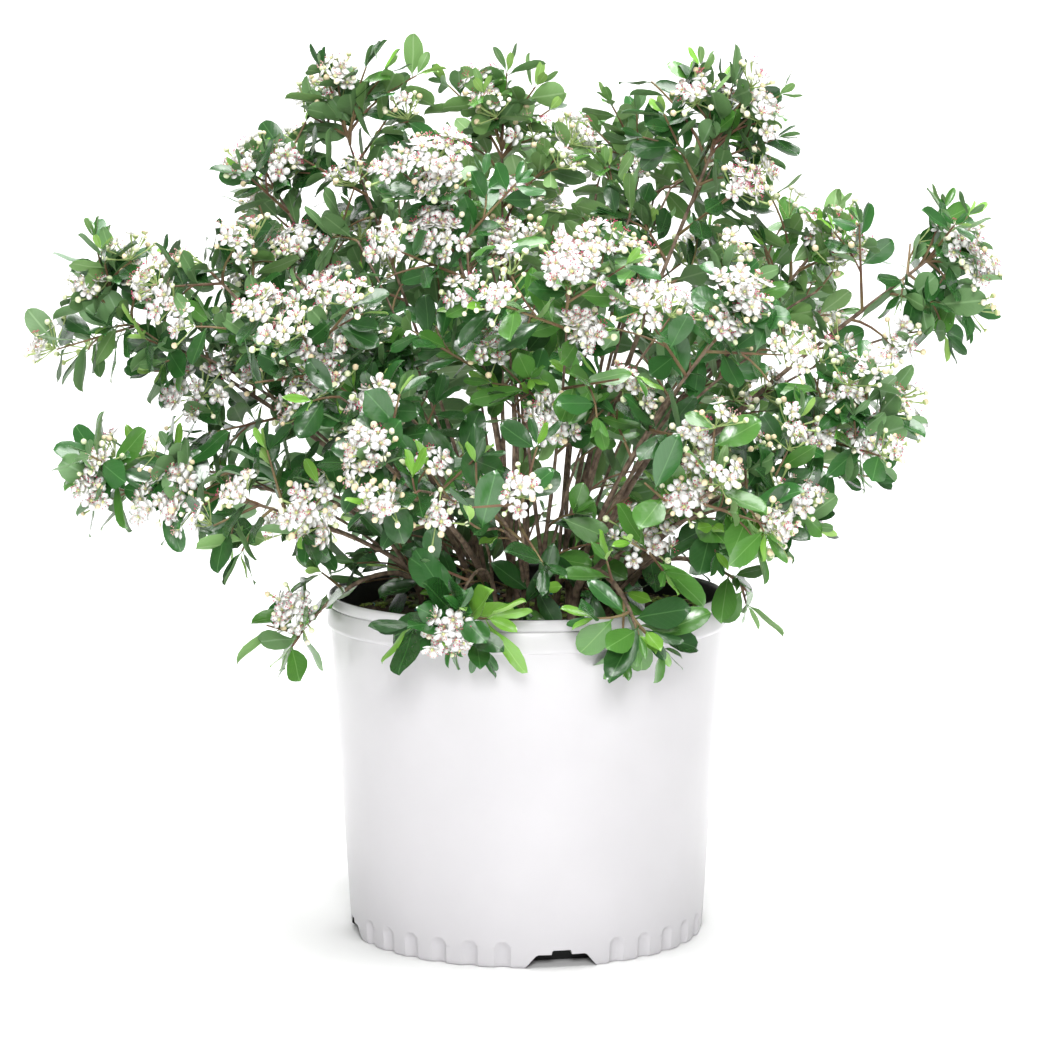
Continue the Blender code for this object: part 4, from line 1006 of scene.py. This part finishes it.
# Chokeberry leaf: a waxy cuticle over dark green; midrib and veins from the leaf's own map, so they follow the blade
def leafMaterial(name, colour, vein, roughness, ribWidth):
    material, tree, shader = newMaterial(name, colour, roughness, 1.5, Specular_IOR_Level=leafRelief["shine"])
    uv = addNode(tree, "ShaderNodeTexCoord").outputs["UV"]
    parts = addNode(tree, "ShaderNodeSeparateXYZ", {"Vector": uv})
    off = addNode(tree, "ShaderNodeMath", {0: parts.outputs["X"], 1: 0.5}, operation="SUBTRACT")
    far = addNode(tree, "ShaderNodeMath", {0: off.outputs[0]}, operation="ABSOLUTE")
    slanted = addNode(tree, "ShaderNodeMath", {0: far.outputs[0], 1: -0.75, 2: parts.outputs["Y"]}, operation="MULTIPLY_ADD")
    beat = addNode(tree, "ShaderNodeMath", {0: slanted.outputs[0], 1: 50.0}, operation="MULTIPLY")
    wave = addNode(tree, "ShaderNodeMath", {0: beat.outputs[0]}, operation="SINE")
    line = addNode(tree, "ShaderNodeMapRange", {"Value": wave.outputs[0], "From Min": 0.86, "From Max": 1.0, "To Max": 0.10})
    rib = addNode(tree, "ShaderNodeMapRange", {"Value": far.outputs[0], "From Min": ribWidth, "From Max": ribWidth * 1.6, "To Min": 0.7, "To Max": 0.0})
    both = addNode(tree, "ShaderNodeMath", {0: line.outputs["Result"], 1: rib.outputs["Result"]}, operation="MAXIMUM")
    mix = tree.nodes.new("ShaderNodeMix")
    mix.data_type = "RGBA"
    tree.links.new(both.outputs[0], mix.inputs["Factor"])
    mix.inputs[6].default_value, mix.inputs[7].default_value = linear(colour), linear(vein)
    tree.links.new(mix.outputs[2], shader.inputs["Base Color"])
    place = addNode(tree, "ShaderNodeTexCoord").outputs["Object"]
    swell = addNode(tree, "ShaderNodeTexNoise", {"Vector": place, "Scale": 1000 / leafRelief["size"], "Detail": 1.0})
    height = addNode(tree, "ShaderNodeMath", {0: wave.outputs[0], 1: leafRelief["vein"], 2: swell.outputs["Fac"]}, operation="MULTIPLY_ADD")
    bump = addNode(tree, "ShaderNodeBump", {"Height": height.outputs[0], "Strength": 1.0, "Distance": leafRelief["height"] / 1000})
    tree.links.new(bump.outputs["Normal"], shader.inputs["Normal"])
    return material


leafTints = [("dark", "#244d20", "#46723c"), ("mid", "#4a7c32", "#6e9c52"), ("deep", "#2f622b", "#548649"), ("young", "#72a63c", "#92c05e")]
leafTops = [leafMaterial("leaf_cuticle_" + name, colour, vein, 0.25, 0.014) for name, colour, vein in leafTints]
underTints = [("dark", "#5c824c", "#84a672"), ("mid", "#709854", "#94b47e"), ("deep", "#668e58", "#8cac84"), ("young", "#94be5e", "#b0d086")]
leafUnder = [leafMaterial("leaf_underside_" + name, colour, vein, 0.55, 0.025) for name, colour, vein in underTints]
# Petal tissue: matt and very white
petalWhite, tree, shader = newMaterial("petal_white", "#fefdfb", 0.7, 1.35)
# Pollen heads, filaments and the green disc of the flower
antherPink, tree, shader = newMaterial("anther_rose", "#c2446a", 0.6)
antherSpent, tree, shader = newMaterial("anther_spent", "#d9a8a4", 0.6)
filamentWhite, tree, shader = newMaterial("filament_white", "#f1eedd", 0.6)
discGreen, tree, shader = newMaterial("flower_disc_green", "#c9cf8e", 0.6)
budCream = [newMaterial(name, colour, 0.5)[0] for name, colour in (("bud_cream", "#f0ebd0"), ("bud_tan_tinged", "#e6d3ae"), ("bud_green_white", "#dfe6bd"))]
budBase, tree, shader = newMaterial("bud_calyx_green", "#a9b87a", 0.6)
stalkGreen, tree, shader = newMaterial("flower_stalk_green", "#a3b874", 0.6)
# Bark of the stems: smooth, brown-grey, with pale pores; the young twigs are redder and smoother
barkOld, tree, shader = newMaterial("bark_brown_grey", "#8a7868", 0.78)
mottle(tree, shader, "#56463a", "#887463", 5, 1.6, 0.3)
barkYoung, tree, shader = newMaterial("bark_young_red_brown", "#765a44", 0.6)
mottle(tree, shader, "#644636", "#80704c", 18, 1.5, 0.08)

makeSoil()
makeLitter()
feet = shootFeet()
shrub = Shrub(feet)
for name in shoots:
    shrub.shoot(name, feet[name])
print(f"{len(shrub.leaves.rows)} leaves, {len(shrub.flowers.rows)} flowers, {len(shrub.buds.rows)} buds, {len(shrub.twigs)} twigs")

masses = sorted(name for name in frame["nodes"] if name.startswith("foliage_"))
stems = sorted(name for name in frame["nodes"] if name.startswith("stem_"))
addPiece("stems", tubes("stems", shrub.boughs, 12, barkOld, relief=0.0007, reliefScale=170.0), "bark", *stems)
addPiece("twigs", tubes("twigs", shrub.twigs, 6, barkYoung, relief=0.0002, reliefScale=260.0), "bark", *masses)
addPiece("flower_stalks", tubes("stalks", shrub.stalks, 4, stalkGreen), "foliage", *masses)

leafShapes = [leafShape("leafFlat", 0.16, 0.08, 0.4), leafShape("leafFolded", 0.42, 0.04, 0.5), leafShape("leafArched", 0.26, 0.26, 0.7), leafShape("leafNarrow", 0.32, 0.14, 0.3, 0.84)]
for name, front in (("leaves_front", True), ("leaves_back", False)):
    addPiece(name, scatter(name, shrub.leaves.half(front), leafShapes, list(zip(leafTops, leafUnder))), "foliage", *masses)
flowerShapes = [flowerShape("flowerOpen", 0.10), flowerShape("flowerCup", 0.34), flowerShape("flowerFlat", -0.04)]
addPiece("petals", scatter("petals", shrub.flowers, flowerShapes, [[petalWhite]]), "foliage", *masses)
stamenShapes = [stamenShape("stamensUpright", 0.30, 0.17), stamenShape("stamensWide", 0.24, 0.26)]
addPiece("stamens", scatter("stamens", shrub.stamens, stamenShapes, [[anther, filamentWhite, discGreen] for anther in (antherPink, antherSpent)]), "foliage", *masses)
addPiece("buds", scatter("buds", shrub.buds, [budShape("bud")], [[cream, budBase] for cream in budCream]), "foliage", *masses)

# Studio: white paper that curves up behind, one soft light near the camera, one above, and a bright room
studio = {"paper": "#fcfcfc", "worldStrength": 0.29, "key": 74.0, "top": 106.0, "backdrop": 60.0}


def makeSweep():
    profile = [(-4.0, 0.0), (1.6, 0.0)]
    profile += [(1.6 + 1.2 * math.sin(a), 1.2 - 1.2 * math.cos(a)) for a in np.linspace(0.12, math.pi / 2, 14)]
    profile += [(2.8, 4.5)]
    verts = [(x, y, z) for y, z in profile for x in (-5, 5)]
    faces = [(2 * i, 2 * i + 1, 2 * i + 3, 2 * i + 2) for i in range(len(profile) - 1)]
    paper, tree, shader = newMaterial("paper_sweep", studio["paper"], 0.9)
    sweep = bpy.data.objects.new("sweep", meshOf("sweep", verts, faces, [paper]))
    bpy.context.scene.collection.objects.link(sweep)


def addLight(name, place, target, size, power):
    light = bpy.data.lights.new(name, "AREA")
    light.shape, light.size, light.energy = "SQUARE", size, power
    lamp = bpy.data.objects.new(name, light)
    lamp.location = place
    lamp.rotation_euler = (Vector(target) - Vector(place)).to_track_quat("-Z", "Y").to_euler()
    bpy.context.scene.collection.objects.link(lamp)


makeSweep()
addLight("keySoftbox", (0.02, -3.1, 1.5), (0, 0, 0.3), 0.8, studio["key"])
addLight("topSoftbox", (0.12, -0.3, 2.6), (0, 0, 0.3), 2.0, studio["top"])
addLight("backdropSoftbox", (0, 0.9, 3.0), (0, 2.8, 1.2), 1.5, studio["backdrop"])
world = bpy.data.worlds.new("studio")
world.use_nodes = True
world.node_tree.nodes["Background"].inputs["Color"].default_value = (1, 1, 1, 1)
world.node_tree.nodes["Background"].inputs["Strength"].default_value = studio["worldStrength"]
bpy.context.scene.world = world
bpy.context.scene.view_settings.view_transform = "Standard"

camera = bpy.data.cameras.new("camera")
camera.lens, camera.sensor_width = 118.6, 36.0
camera.clip_end = 50.0
cameraObject = bpy.data.objects.new("camera", camera)
cameraObject.location = (0.0009, -2.4225, 0.5961)
cameraObject.rotation_euler = (math.pi / 2 - 0.1277, 0, 0)
bpy.context.scene.collection.objects.link(cameraObject)
bpy.context.scene.camera = cameraObject
